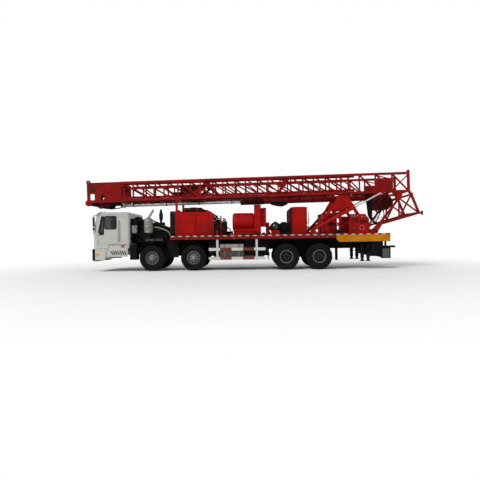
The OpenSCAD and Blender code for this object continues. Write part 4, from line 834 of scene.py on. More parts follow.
def behind_cab():
    """Air cleaner drum, frame, engine covers, silencer casing and the pale shield."""
    cleaner = Shape()
    for z in (1.73, 2.06, 2.16):
        cleaner.lathe(collar(0.1505, 0.157, 0.018, 0.003), (*CLEANER, z), UP, 36)
    cleaner.lathe([(0.146, 0), (0.11, 0.022), (0.056, 0.026)], (*CLEANER, 2.18), UP, 36)
    cleaner.pipe([(*CLEANER, 2.18), (-5.18, -0.86, 2.28), (-5.12, -0.76, 2.33), (-5.0, -0.64, 2.3),
                  (-4.95, -0.56, 2.18)], 0.055, 14)
    cleaner.done("air_cleaner", "machine_dark", 0.003)
    rack = Shape()
    for y in (0.7, 1.05):
        rack.box((-5.33, y - 0.03, 1.15), (-5.27, y + 0.03, 2.3))
    rack.box((-5.3, 0.7, 1.68), (-5.02, 1.08, 1.716))
    rack.box((-5.31, 0.426, 1.15), (-5.27, 1.065, 1.21))
    rack.rod((-5.3, 1.065, 2.27), (-5.02, 1.065, 1.71), 0.02, 10)
    rack.mirror()
    for z in (1.45, 1.72, 2.27):
        rack.box((-5.33, -1.08, z - 0.03), (-5.275, 1.08, z + 0.03))
    rack.done("cab_rear_frame", "chassis_black", 0.003)
    # Valve covers and pulleys of the truck's engine
    heads = Shape()
    for x, z in ((-5.22, 2.12), (-4.91, 2.045), (-4.6, 1.97)):
        heads.plate([(x, z), (x + 0.27, z - 0.03), (x + 0.25, z + 0.1), (x + 0.02, z + 0.125)], 0.1, 0.3)
    heads.mirror()
    heads.lathe([(0, 0), (0.15, 0), (0.15, 0.015), (0.13, 0.022), (0.13, 0.04), (0.15, 0.047), (0.15, 0.062),
                 (0, 0.062)], (-5.301, 0, 1.35), (-1, 0, 0), 36)
    heads.lathe([(0, 0), (0.06, 0), (0.06, 0.02), (0.05, 0.026), (0.06, 0.032), (0.06, 0.05), (0, 0.05)],
                (-5.301, 0.22, 1.7), (-1, 0, 0), 24)
    heads.done("engine_covers", "machine_dark", 0.008)
    # Dark casing round the silencer's lower box and neck, and a pale shield behind the cab
    casing, shield = Shape(), Shape()
    line = rounded(-4.704, 1.296, -3.956, 1.424, 0.02)
    for y in (-1.104, -0.757):
        casing.plate(line, y, y + 0.003)
    casing.rim(line, 0.0035, -1.104, -0.754)
    neck = rounded(-4.664, 1.42, -4.536, 1.676, 0.012)
    casing.plate(neck, -0.964, -0.961)
    casing.band(neck, rounded(-4.6605, 1.4235, -4.5395, 1.6725, 0.01), -0.964, -0.857)
    casing.done("silencer_casing", "machine_dark", 0.002)
    line = rounded(-5.32, 1.66, -5.07, 2.0, 0.03)
    shield.plate(line, -1.075, -1.066)
    shield.plate(inset(line, 0.03), -1.082, -1.075)
    for z in (1.74, 1.83, 1.92):
        shield.box((-5.275, -1.09, z), (-5.115, -1.082, z + 0.03))
    for z in (1.7, 1.95):
        shield.box((-5.31, -1.068, z), (-5.27, -1.04, z + 0.03))
    shield.done("cab_rear_shield", "steel_grey", 0.002)
    ribs, covers = Shape(), Shape()
    for x0, x1 in ((-4.69, -4.32), (-4.26, -3.94)):
        cover = rounded(x0, 1.306, x1, 1.388, 0.012)
        covers.plate(cover, -1.112, -1.103)
        covers.plate(inset(cover, 0.014), -1.115, -1.112)
        ribs.box((x0 + 0.02, -1.095, 1.418), (x1 - 0.02, -0.765, 1.434))
    ribs.done("box_ribs", "machine_dark", 0.002)
    covers.done("box_covers", "tank_coat", 0.002)
    # Coolant tank and filters on the right
    right = Shape()
    right.lathe([(0, 0), (0.12, 0), (0.135, 0.015), (0.135, 0.7), (0.12, 0.715), (0, 0.715)],
                (-4.95, 0.9, 2.06), (1, 0, 0), 26)
    right.box((-4.7, 0.77, 1.42), (-4.66, 0.83, 2.0))
    right.box((-4.8, 0.7, 1.9), (-4.4, 0.96, 1.94))
    for x in (-4.15, -3.98):
        right.lathe([(0, 0), (0.05, 0), (0.058, 0.012), (0.058, 0.2), (0.045, 0.22), (0, 0.22)],
                    (x, 0.76, 1.5), UP, 20)
    right.box((-4.22, 0.69, 1.715), (-3.91, 0.82, 1.755))
    right.done("right_tank_and_filters", "machine_dark", 0.003)


def under_deck():
    """Flaps, guards, dark side plates of painted shade, air tanks, shafts, lines and shock absorbers."""
    flaps = Shape()
    flaps.box((-3.79, 0.78, 0.56), (-3.776, 1.2, 1.0))
    flaps.box((0.64, 0.64, 0.42), (0.654, 1.215, 1.13))
    flaps.box((3.56, 0.64, 0.38), (3.574, 1.215, 1.13))
    flaps.mirror().done("mud_flaps", "tyre")
    # Arched guard over the second front axle, and a flat cover between the deck and the twins
    guard = Shape()
    over = (AXLE_X[1], AXLE_Z)
    guard.plate(arc(*over, 0.655, 22, 158, 17) + arc(*over, 0.647, 158, 22, 17), 0.76, 1.215)
    guard.box((-2.64, 0.43, 1.222), (-2.56, 1.15, 1.262))
    guard.plate([(0.7, 1.24), (0.79, 1.262), (3.4, 1.262), (3.52, 1.235), (3.52, 1.225), (3.4, 1.252),
                 (0.79, 1.252), (0.7, 1.23)], 0.64, 1.215)
    guard.mirror().done("wheel_covers", "chassis_black")
    # Painted shade: dark plates with stiff edges that close the space between the deck beam and the wheels,
    # where the underside lies in shade
    skirt = Shape()
    for x0, x1, z0 in ((-3.775, -3.27, 0.58), (-1.93, -1.47, 0.62), (-0.42, 0.64, 0.62), (4.99, 5.56, 0.96)):
        skirt.box((x0, 0.99, z0), (x1, 1.01, 1.335))
        for z in (z0, 1.3):
            skirt.box((x0, 1.008, z), (x1, 1.03, z + 0.014))
    # Plate between the twins, inboard of them, dark as the same painted shade
    skirt.box((1.9, 0.56, 0.52), (2.3, 0.575, 1.225))
    skirt.mirror().done("chassis_side_plates", "chassis_black", 0.002)
    tanks = Shape()
    for x in (-1.86, -1.64):
        tanks.lathe([(0, 0), (0.08, 0.006), (0.105, 0.03), (0.105, 0.3), (0.08, 0.324), (0, 0.33)],
                    (x, 0.56, 0.76), (0, 1, 0), 26)
    tanks.lathe([(0, 0), (0.1, 0.01), (0.13, 0.04), (0.13, 0.43), (0.1, 0.46), (0, 0.47)],
                (0.145, 0.74, 0.79), (1, 0, 0), 28)
    for x in (0.24, 0.48):
        tanks.box((x - 0.015, 0.425, 0.9), (x + 0.015, 0.7, 0.94))
        tanks.ring((x, 0.74, 0.79), (1, 0, 0), 0.132, 0.006, 30, 6)
    tanks.mirror().done("air_tanks", "machine_dark", 0.003)
    shaft = Shape()
    for a, b in (((-3.7, 0, 0.98), (0.72, 0, 0.64)), ((1.74, 0, 0.6), (2.47, 0, 0.6))):
        shaft.rod(a, b, 0.052, 20)
        for end, other in ((a, b), (b, a)):
            shaft.lathe([(0, 0), (0.085, 0), (0.085, 0.02), (0.06, 0.03), (0.06, 0.09), (0.052, 0.11)],
                        end, Vector(other) - Vector(end), 20)
    shaft.done("prop_shafts", "chassis_black", 0.002)
    lines = Shape()
    for y, z in ((0.3, 1.18), (0.315, 1.21), (-0.3, 1.19)):
        lines.pipe([(-3.4, y, z), (-2.0, y, z - 0.01), (0.0, y, z), (2.0, y, z - 0.01), (4.6, y, z)], 0.01, 6)
    lines.done("chassis_lines", "tyre")
    # Shock absorbers at the front, brake chambers at the rear
    shock = Shape()
    for x in (-4.1, -2.3):
        shock.rod((x, 0.52, 0.56), (x + 0.09, 0.5, 0.86), 0.038, 16)
        shock.rod((x + 0.09, 0.5, 0.86), (x + 0.135, 0.49, 1.01), 0.022)
        shock.rod((x + 0.135, 0.43, 1.01), (x + 0.135, 0.48, 1.01), 0.036, 14)
        shock.rod((x, 0.5, 0.56), (x, 0.55, 0.56), 0.036, 14)
        shock.box((x - 0.26, 0.48, 0.52), (x + 0.04, 0.56, 0.57))
    for x in AXLE_X[2:]:
        shock.lathe([(0, 0), (0.07, 0.005), (0.085, 0.03), (0.085, 0.06), (0.095, 0.065), (0.095, 0.08),
                     (0.085, 0.085), (0.085, 0.14), (0.06, 0.17), (0, 0.175)], (x + 0.25, 0.52, 0.62),
                     (0.9, 0, 0.25), 24)
        shock.box((x + 0.06, 0.49, 0.575), (x + 0.27, 0.55, 0.64))
    shock.mirror().done("shocks_and_brakes", "machine_dark", 0.002)


def tanks_and_guards(side):
    section = rounded(0.72, 0.5, 1.18, 1.13, 0.09)
    ends_x = (-1.45, -0.44)
    bands, cap, coat, ends = Shape(side), Shape(side), Shape(side), Shape(side)
    for x in (-1.26, -0.64):
        bands.band(inset(section, -0.006), section, x - 0.028, x + 0.028, "yz")
    bands.done("tank_bands", "rim_grey")
    cap.lathe([(0, 0), (0.058, 0), (0.058, 0.022), (0.05, 0.03), (0.05, 0.052), (0, 0.052)],
              (-1.08, 0.98, 1.128), UP, 26)
    cap.box((-1.092, 0.935, 1.178), (-1.068, 1.025, 1.19))
    cap.rod((-0.88, 0.9, 1.128), (-0.88, 0.9, 1.15), 0.024, 16)
    cap.pipe([(-0.88, 0.9, 1.15), (-0.88, 0.88, 1.2), (-0.88, 0.78, 1.22), (-0.88, 0.62, 1.18)], 0.009, 8)
    cap.done("tank_cap", "machine_dark", 0.002)
    # Darker sheet on the tank's lower half, bent thin round its underside
    low = sorted([p for p in inset(section, -0.003) if p[1] < 0.8], key=lambda p: -p[0])
    line = [(1.183, 0.905), *low, (0.717, 0.905)]
    n = len(line)
    coat.add([(x, *p) for x in (ends_x[0] - 0.0005, ends_x[1] + 0.0005) for p in line],
             [(k, k + 1, n + k + 1, n + k) for k in range(n - 1)]
             + [tuple(range(n)), tuple(range(2 * n - 1, n - 1, -1))])
    coat.done("tank_lower_coat", "tank_coat")
    for x, out in zip(ends_x, (-0.01, 0.01)):
        ends.plate(inset(section, 0.03), x, x + out, "yz")
    ends.done("tank_ends", "steel_grey", 0.006)
    # Red and white bars on the guard rails
    red, white, posts, step = Shape(side), Shape(side), Shape(side), Shape(side)
    for z in (0.46, 0.85):
        for k in range(5):
            x = -1.93 + k * 0.488
            bar = red if k % 2 else white
            bar.box((x + 0.0005, 1.2195, z - 0.002), (x + 0.4875, 1.223, z + 0.122))
    red.done("guard_red", "stripe_red")
    white.done("guard_white", "guard_white")
    for x in (-1.56, 0.13):
        posts.box((x - 0.046, 1.186, 0.44), (x + 0.046, 1.216, 1.33))
        posts.bolts([(x, 1.224, z) for z in (0.495, 0.545, 0.885, 0.935, 1.29)], (0, 1, 0), 0.011, 0.008)
    posts.done("guard_posts", "guard_white", 0.003)
    # Treads on the step tank behind the cab
    for x in [-5.338 + k * 0.03 for k in range(9)]:
        step.box((x, 0.78, 1.18), (x + 0.012, 1.2, 1.188))
    step.done("step_tread", "steel")


# Deck and its machinery

DECK_TOP = 1.52
HOOD_Y = 1.0
HOOD_X0, HOOD_X1 = -3.41, -1.72
RADIATOR_X = -3.6


def deck_trim(side):
    white, red = Shape(side), Shape(side)
    for k in range(29):
        x = -3.56 + k * 0.322
        y = 1.2355 if x < 3.4 else 1.2505
        white.box((x, y, 1.462), (x + 0.15, y + 0.002, 1.508))
        red.box((x + 0.151, y, 1.462), (min(x + 0.321, 5.795), y + 0.002, 1.508))
    white.done("deck_marks_white", "mark_white")
    red.done("deck_marks_red", "stripe_red")
    # Flange lips and webs of the edge beam, so that it reads as a channel
    lip = Shape(side)
    lip.box((-3.6, 1.18, 1.336), (3.52, 1.239, 1.35))
    lip.box((-3.6, 1.18, 1.51), (3.52, 1.239, 1.523))
    for x in [-3.4 + k * 0.51 for k in range(14)]:
        lip.box((x, 1.228, 1.35), (x + 0.012, 1.237, 1.46))
    lip.done("deck_lips", "deck_red", 0.002)
    skirt = Shape(side)
    for x in (3.64, 4.06, 4.48, 4.9, 5.32, 5.72):
        skirt.bolts([(x, 1.25, 1.2), (x, 1.25, 1.43)], (0, 1, 0), 0.01, 0.007)
    skirt.box((3.66, 1.246, 1.168), (5.802, 1.254, 1.182))
    skirt.done("skirt_trim", "skirt_yellow", 0.001)
    lamp = Shape(side)
    places = [(x, 1.236, 1.38) for x in (-2.9, -0.85, 1.15, 3.15)] + [(4.87, 1.251, 1.225)]
    for place in places:
        lamp.lathe([(0, 0), (0.03, 0), (0.028, 0.008), (0.014, 0.014), (0, 0.015)], place, (0, 1, 0), 18)
    lamp.done("side_lamps", "red_lens")


def deck_tread():
    """Raised bars on the walking surface, leaning left and right by turns."""
    tread = Shape()
    faces = [(0, 1, 2, 3), (4, 5, 6, 7), (0, 1, 5, 4), (1, 2, 6, 5), (2, 3, 7, 6), (3, 0, 4, 7)]
    for k in range(96):
        x = -3.5 + k * 0.0915
        if 4.55 < x < 5.0:
            continue
        lean = 0.02 if k % 2 else -0.02
        for y0, y1 in ((-1.22, -1.06), (1.06, 1.22)):
            foot, crest = DECK_TOP, DECK_TOP + 0.004
            tread.add([(x, y0, foot), (x + 0.014, y0, foot), (x + 0.014 + lean, y1, foot),
                       (x + lean, y1, foot),
                       (x + 0.003, y0, crest), (x + 0.011, y0, crest), (x + 0.011 + lean, y1, crest),
                       (x + 0.003 + lean, y1, crest)], faces)
    tread.done("deck_tread", "deck_red")


def hood_side(side):
    # Two door panels with their frames, hinges and knobs
    panel, knob = Shape(side), Shape(side)
    for x0, x1 in ((-3.23, -2.52), (-2.49, -1.93)):
        line = rounded(x0, 1.59, x1, 2.44, 0.02)
        panel.rim(line, 0.012, HOOD_Y + 0.001, HOOD_Y + 0.01)
        panel.plate(inset(line, 0.02), HOOD_Y, HOOD_Y + 0.006)
        for z in (1.72, 2.3):
            panel.rod((x0 + 0.004, HOOD_Y + 0.01, z), (x0 + 0.004, HOOD_Y + 0.01, z + 0.08), 0.009, 10)
        knob.lathe([(0, 0), (0.03, 0), (0.03, 0.006), (0.016, 0.01), (0.02, 0.026), (0, 0.03)],
                   (x1 - 0.055, HOOD_Y + 0.006, 1.96), (0, 1, 0), 20)
    panel.done("hood_doors", "rig_red", 0.003)
    knob.done("hood_knobs", "machine_dark")
    slots, louvres, edge = Shape(side), Shape(side), Shape(side)
    # Each louvre is a pressed wedge over its slot
    wedge = [(0, 1, 5, 4), (0, 4, 3), (1, 2, 5), (3, 4, 5, 2), (0, 3, 2, 1)]
    back, front = HOOD_Y + 0.006, HOOD_Y + 0.02
    for z in [1.64 + k * 0.052 for k in range(8)]:
        slots.box((-2.3, HOOD_Y + 0.004, z), (-1.99, HOOD_Y + 0.0075, z + 0.012))
        top, low = z + 0.04, z + 0.012
        louvres.add([(-2.305, back, top), (-1.985, back, top), (-1.985, back, low), (-2.305, back, low),
                     (-2.3, front, low), (-1.99, front, low)], wedge)
    # Painted shade: a dark plate where the hood's side meets its rear, for the shaded face where the side
    # turns in
    slots.plate([(-1.915, 1.562), (HOOD_X1 - 0.002, 1.562), (HOOD_X1 - 0.002, 2.28), (-1.8, 2.08)],
                HOOD_Y - 0.001, HOOD_Y + 0.004)
    slots.done("hood_slots", "deck_red")
    louvres.done("hood_louvres", "rig_red")
    edge.box((HOOD_X0, 0.985, DECK_TOP), (HOOD_X0 + 0.04, 1.008, 2.548))
    edge.box((HOOD_X0, 0.96, DECK_TOP), (HOOD_X1 + 0.006, 1.008, 1.56))
    edge.done("hood_edges", "rig_red", 0.004)


def hood_top():
    """Lift lugs, rear louvres, filter box, ducts and rail of the hood."""
    lugs = Shape()
    for x in (-3.28, -2.02):
        lugs.plate(rounded(x - 0.06, 2.536, x + 0.06, 2.64, 0.04), 0.878, 0.902)
    lugs.mirror().done("hood_lift_lugs", "rig_red", 0.003)
    rear = Shape()
    for z in [1.62 + k * 0.055 for k in range(12)]:
        rear.plate([(HOOD_X1, z), (HOOD_X1 + 0.022, z), (HOOD_X1, z + 0.038)], 0.48, 0.96)
    rear.mirror().done("hood_rear_louvres", "machine_dark")
    # Filter box on the hood, with its lid seams and clips, and the ducts over the hood's rear
    box, duct, posts = Shape(), Shape(), Shape()
    box.rim([(-3.17, 2.552), (-2.18, 2.552), (-2.312, 2.745), (-3.034, 2.745)], 0.02, 0.62, 0.632)
    for x in (-2.98, -2.7, -2.42):
        box.box((x - 0.02, 0.63, 2.6), (x + 0.02, 0.645, 2.69))
    box.lathe([(0, 0), (0.15, 0), (0.165, 0.012), (0.165, 0.03), (0.04, 0.036), (0, 0.036)],
              (-2.68, 0.3, 2.758), UP, 30)
    box.mirror().done("filter_box_trim", "machine_dark", 0.003)
    duct.pipe([(-2.26, 0.48, 2.64), (-2.08, 0.49, 2.6), (-1.9, 0.5, 2.52), (-1.76, 0.5, 2.4),
               (-1.66, 0.51, 2.24),
               (-1.62, 0.51, 2.08), (-1.58, 0.5, 1.96)], 0.06, 16)
    duct.mirror().done("intake_ducts", "tyre")
    for x in (-3.0, -2.46):
        posts.rod((x, 0.9, 2.535), (x, 0.9, 2.735), 0.014, 10)
    rail = ((-3.28, 2.64), (-3.1, 2.66), (-3.0, 2.665), (-2.46, 2.665), (-2.3, 2.64))
    posts.pipe([(x, 0.9, z) for x, z in rail], 0.008, 8)
    posts.mirror().done("hood_rail_posts", "rig_red")


def cooling_trim():
    fan, guard, shroud, core = Shape(), Shape(), Shape(), Shape()
    middle = Vector((RADIATOR_X + 0.07, 0, 2.06))
    faces = [(0, 1, 2, 3), (4, 5, 6, 7), (0, 1, 5, 4), (1, 2, 6, 5), (2, 3, 7, 6), (3, 0, 4, 7)]
    # A blade's corners: distance out, distance across and twist out of the fan's plane
    blade = ((0.09, 0.03, -0.025), (0.09, -0.03, 0.025), (0.43, -0.09, 0.032), (0.435, 0.07, -0.03))
    for a, b in circle(0, 0, 1, 8):
        out, across = Vector((0, a, b)), Vector((0, -b, a))
        corners = [middle + out * p + across * q + Vector((twist, 0, 0)) for p, q, twist in blade]
        fan.add(corners + [corner + Vector((0.005, 0, 0)) for corner in corners], faces)
    fan.done("fan_blades", "steel_grey")
    x = RADIATOR_X - 0.014
    for r in (0.1, 0.18, 0.26, 0.34, 0.42, 0.466):
        guard.ring((x, 0, 2.06), (1, 0, 0), r, 0.005, 56, 6)
    for near, far in zip(circle(0, 2.06, 0.02, 8), circle(0, 2.06, 0.47, 8)):
        guard.rod((x, *near), (x, *far), 0.005, 6)
    for y in (-0.47, 0.47):
        guard.rod((x, y, 2.06), (x + 0.018, y, 2.06), 0.012, 8)
    guard.done("fan_guard", "machine_dark")
    # Shroud's bulging front edge
    line = rounded(-0.98, 1.522, 0.98, 2.6, 0.12)
    bulge = ((0, 0), (0.006, -0.026), (0.03, -0.042), (0.07, -0.048), (0.11, -0.04), (0.118, -0.004))
    shroud.loft([laid(inset(line, margin), RADIATOR_X + out, "yz") for margin, out in bulge])
    shroud.done("cooling_shroud", "machine_dark")
    for z in [1.64 + row * 0.042 for row in range(22)]:
        core.box((RADIATOR_X - 0.006, 0.5, z), (RADIATOR_X + 0.002, 0.86, z + 0.014))
    for y in [0.5 + column * 0.045 for column in range(9)]:
        core.box((RADIATOR_X - 0.01, y - 0.003, 1.63), (RADIATOR_X + 0.002, y + 0.003, 2.56))
    core.mirror().done("cooling_core", "steel_grey")


def pump_drive():
    """Pump drive behind the hood: flanges, pumps, fins and an upright drum."""
    body = Shape()
    # Built on each side, because Blender rounds the edges of a mirrored copy a little differently
    for way in (-1, 1):
        out = (0, way, 0)
        body.lathe(collar(0.235, 0.25, 0.06, 0.01), (-1.48, way * 0.84, 1.85), out, 36)
        body.lathe([(0, 0), (0.08, 0), (0.09, 0.014), (0.09, 0.05), (0.06, 0.07), (0, 0.07)],
                   (-1.48, way * 0.9, 1.85), out, 26)
        body.bolt_ring((-1.48, way * 0.9, 1.85), out, 0.2, 10, 0.014, 0.014)
        body.lathe(collar(0.115, 0.128, 0.048, 0.008), (-1.33, way * 0.8, 1.64), out, 28)
        body.bolt_ring((-1.33, way * 0.86, 1.64), out, 0.09, 6, 0.01, 0.012)
    for y in (-0.475, 0.45):
        for k in range(7):
            body.box((-1.695 + k * 0.062, y, 1.56), (-1.68 + k * 0.062, y + 0.025, 1.62 if k < 4 else 1.94))
    for y in [-0.38 + k * 0.18 for k in range(5)]:
        body.box((-1.252, y, 1.56), (-1.232, y + 0.03, 1.95))
    body.box((-1.64, -0.38, 1.98), (-1.32, 0.38, 2.0))
    body.lathe([(0, 0), (0.07, 0), (0.07, 0.12), (0.05, 0.14), (0.03, 0.14), (0.03, 0.23), (0, 0.23)],
               (-1.52, -0.15, 2.0), UP, 20)
    body.box((-1.42, 0.05, 2.0), (-1.3, 0.3, 2.15))
    # Upright drum beside the post
    body.lathe([(0, 0), (0.075, 0), (0.085, 0.012), (0.085, 0.33), (0.06, 0.37), (0, 0.375)],
               (-1.23, -0.78, 1.76), UP, 24)
    body.box((-1.3, -0.85, DECK_TOP), (-1.16, -0.71, 1.56))
    body.rod((-1.23, -0.78, 1.55), (-1.23, -0.78, 1.77), 0.034)
    body.done("pump_drive_trim", "machine_dark", 0.003)
    gauge, face = Shape(), Shape()
    for x, z in ((-1.69, 2.15), (-1.59, 2.23), (-1.66, 2.32)):
        gauge.lathe([(0, 0), (0.045, 0), (0.05, 0.006), (0.05, 0.034), (0.044, 0.036)],
                    (x, -0.93, z), (0, -1, 0), 24)
        gauge.lathe([(0.044, 0.03), (0, 0.03)], (x, -0.93, z), (0, -1, 0), 24)
        gauge.rod((x, -0.935, z), (x, -0.88, z - 0.03), 0.012, 8)
        face.lathe([(0.03, 0.031), (0, 0.031)], (x, -0.93, z), (0, -1, 0), 24)
    gauge.plate([(-1.715, 2.08), (-1.56, 2.08), (-1.54, 2.38), (-1.715, 2.38)], -0.932, -0.924)
    for z in (2.1, 2.33):
        gauge.box((-1.72, -0.932, z), (-1.7, -0.8, z + 0.03))
    gauge.done("engine_gauges", "machine_dark", 0.001)
    face.done("engine_gauge_faces", "steel_grey")


def posts_and_hoses():
    post = Shape()
    post.rod((-1.4, 1.01, DECK_TOP), (-1.4, 1.01, 2.28), 0.026, 14)
    post.rod((-1.4, 1.01, DECK_TOP), (-1.4, 1.01, 1.534), 0.06, 18)
    post.pipe([(-1.4, 1.01, 2.27), (-1.4, 0.96, 2.33), (-1.42, 0.88, 2.345), (-1.45, 0.8, 2.33)], 0.022)
    post.rod((-1.4, 1.01, 1.86), (-1.25, 0.87, 1.7), 0.016, 10)
    post.box((-1.64, 0.955, DECK_TOP), (-1.54, 0.985, 1.72))
    post.mirror().done("red_posts", "rig_red", 0.003)
    hoses = Shape()
    hoses.pipe([(-1.54, -0.98, 1.86), (-1.42, -1.06, 1.76), (-1.3, -1.05, 1.64), (-1.18, -0.98, 1.56),
                (-0.96, -0.9, 1.545)], 0.022, 8)
    hoses.pipe([(-1.6, -0.88, 2.12), (-1.56, -0.96, 2.0), (-1.5, -0.97, 1.93)], 0.016, 8)
    hoses.pipe([(-1.64, -0.6, 2.2), (-1.54, -0.7, 2.28), (-1.42, -0.78, 2.18), (-1.38, -0.7, 1.95)], 0.022, 8)
    hoses.pipe([(-1.23, -0.78, 2.13), (-1.23, -0.7, 2.23), (-1.3, -0.5, 2.23), (-1.4, -0.3, 2.12)], 0.02, 8)
    hoses.pipe([(-1.2, -0.4, 1.9), (-1.06, -0.5, 1.8), (-0.98, -0.6, 1.64), (-0.9, -0.78, 1.545)], 0.02, 8)
    hoses.pipe([(-1.25, 0.3, 1.7), (-1.1, 0.4, 1.6), (-0.96, 0.5, 1.55), (-0.3, 0.7, 1.545),
                (0.4, 0.8, 1.545)],
               0.022, 8)
    hoses.done("drive_hoses", "tyre")


DRUM = (-0.25, 2.09)
SECOND_CASE = (-0.25, 2.33)


def drum_trim():
    cover = Shape()
    # End rings and a row of bolts on the front end of the round cover
    for r in (0.15, 0.31):
        cover.ring((-0.922, *DRUM), (1, 0, 0), r, 0.007, 48, 8)
    cover.bolt_ring((-0.918, *DRUM), (-1, 0, 0), 0.25, 12, 0.013, 0.016)
    cover.bolts([(-0.84 + k * 0.076, -0.6, 1.668) for k in range(12)], (0, -1, 0), 0.01, 0.008)
    cover.box((-0.88, -0.612, 1.69), (0.04, -0.598, 1.722))
    cover.box((-0.88, -0.612, DECK_TOP), (0.04, -0.598, 1.548))
    for x in (-0.868, -0.02):
        cover.box((x, -0.612, 1.548), (x + 0.018, -0.598, 1.69))
    cover.box((-0.7, 0.1, 1.56), (-0.1, 0.112, 1.7))
    cover.done("drum_cover_trim", "rig_red", 0.002)
    # Inspection cover curved over the drum
    hatch = Shape()
    hatch.plate(arc(*DRUM, 0.432, 145, 105, 10) + arc(*DRUM, 0.412, 105, 145, 10), -0.62, -0.3, "yz")
    hatch.done("drum_hatch", "rig_red", 0.004)


def chain_case_trim():
    """Cover seams, bolt rows and dark edges of the two chain cases."""
    case = Shape()
    line = rounded(-0.76, DECK_TOP, 0.5, 2.85, 0.15)
    for x in (0.036, 0.318):
        case.band(inset(line, -0.006), inset(line, 0.045), x, x + 0.016, "yz")
    case.bolts([(0.037, -0.735, 1.6 + k * 0.074) for k in range(15)], (-1, 0, 0), 0.011, 0.01)
    case.box((0.09, -0.772, 1.9), (0.28, -0.758, 2.6))
    for z in [1.94 + k * 0.155 for k in range(5)]:
        case.bolts([(0.105, -0.772, z), (0.265, -0.772, z)], (0, -1, 0), 0.01, 0.009)
    case.done("chain_case_flanges", "rig_red", 0.002)
    second = Shape()
    line = [(-0.655, 1.89), *arc(*SECOND_CASE, 0.405, 180, 0, 18), (0.155, 1.89)]
    small = [(-0.615, 1.915), *arc(*SECOND_CASE, 0.365, 180, 0, 18), (0.115, 1.915)]
    second.band(line, small, 0.44, 0.456, "yz")
    second.band(line, small, 0.552, 0.566, "yz")
    second.bolts([(0.566, *p) for p in arc(*SECOND_CASE, 0.385, 180, 0, 16)], (1, 0, 0), 0.01, 0.009)
    second.done("second_case_flanges", "board_red", 0.002)
    feet = Shape()
    for y in (-0.52, -0.02):
        feet.plate([(0.71, DECK_TOP), (0.8, DECK_TOP), (0.71, 1.7)], y, y + 0.02)
    for y in (-0.6, 0.1):
        feet.box((0.33, y - 0.04, DECK_TOP), (0.56, y + 0.04, 1.56))
        feet.plate([(0.35, 1.556), (0.54, 1.556), (0.5, 1.62), (0.39, 1.62)], y - 0.012, y + 0.012)
    feet.done("case_feet", "rig_red", 0.002)


def motor_trim():
    """Round motor on its red pedestal and the brake behind it."""
    red, green, dark, hose = Shape(), Shape(), Shape(), Shape()
    red.plate([(0.77, DECK_TOP), (1.17, DECK_TOP), (1.12, 1.7), (0.82, 1.7)], -0.79, -0.745)
    red.plate([(0.77, DECK_TOP), (1.17, DECK_TOP), (1.12, 1.69), (0.82, 1.69)], -0.42, -0.4)
    red.box((0.76, -0.8, DECK_TOP), (1.19, -0.38, 1.556))
    red.bolts([(0.79, -0.77, 1.556), (1.15, -0.77, 1.556)], UP, 0.014, 0.014)
    red.bolts([(0.86 + k * 0.11, -0.79, 1.64) for k in range(3)], (0, -1, 0), 0.012, 0.01)
    red.done("motor_pedestal_trim", "rig_red", 0.004)
    green.lathe([(0.2495, -0.014), (0.264, -0.014), (0.264, 0.014), (0.2495, 0.014)],
                (0.97, -0.56, 1.82), (1, 0, 0), 48)
    green.bolt_ring((0.984, -0.56, 1.82), (1, 0, 0), 0.257, 18, 0.008, 0.01)
    green.lathe([(0.11, 0), (0.11, 0.012), (0.08, 0.022), (0.08, 0.052), (0, 0.054)],
                (0.97, -0.786, 1.87), (0, -1, 0.22), 28)
    green.box((0.9, -0.63, 2.04), (1.03, -0.5, 2.095))
    green.done("motor_trim", "motor_green", 0.003)
    # Rim, boss and bolts on the humped brake case
    hump = [(1.13, 1.56), (1.13, 1.83), (1.18, 1.96), (1.29, 2.04), (1.42, 2.05), (1.52, 1.99), (1.575, 1.9),
            (1.575, 1.56)]
    dark.rim(hump, 0.04, -0.345, -0.3295)
    for r in (0.15, 0.09):
        dark.ring((1.37, -0.331, 1.8), (0, 1, 0), r, 0.009, 40, 8)
    dark.bolt_ring((1.37, -0.33, 1.8), (0, -1, 0), 0.185, 10, 0.012, 0.012)
    dark.lathe([(0, 0), (0.06, 0), (0.07, 0.012), (0.07, 0.06), (0, 0.07)],
               (1.37, -0.33, 1.8), (0, -1, 0), 24)
    dark.plate(hump, 0.152, 0.5)
    dark.done("brake_casing", "machine_dark", 0.006)
    hose.pipe([(1.18, -0.7, 1.58), (1.26, -0.86, 1.556), (1.5, -0.9, 1.545), (1.7, -0.92, 1.545)], 0.018, 8)
    hose.pipe([(0.76, -0.7, 1.58), (0.68, -0.78, 1.556), (0.56, -0.82, 1.545), (0.2, -0.85, 1.545),
               (-0.6, -0.88, 1.545)], 0.018, 8)
    hose.pipe([(1.25, -0.34, 1.64), (1.3, -0.52, 1.59), (1.42, -0.7, 1.556), (1.6, -0.8, 1.545)], 0.02, 8)
    hose.done("motor_hoses", "tyre")


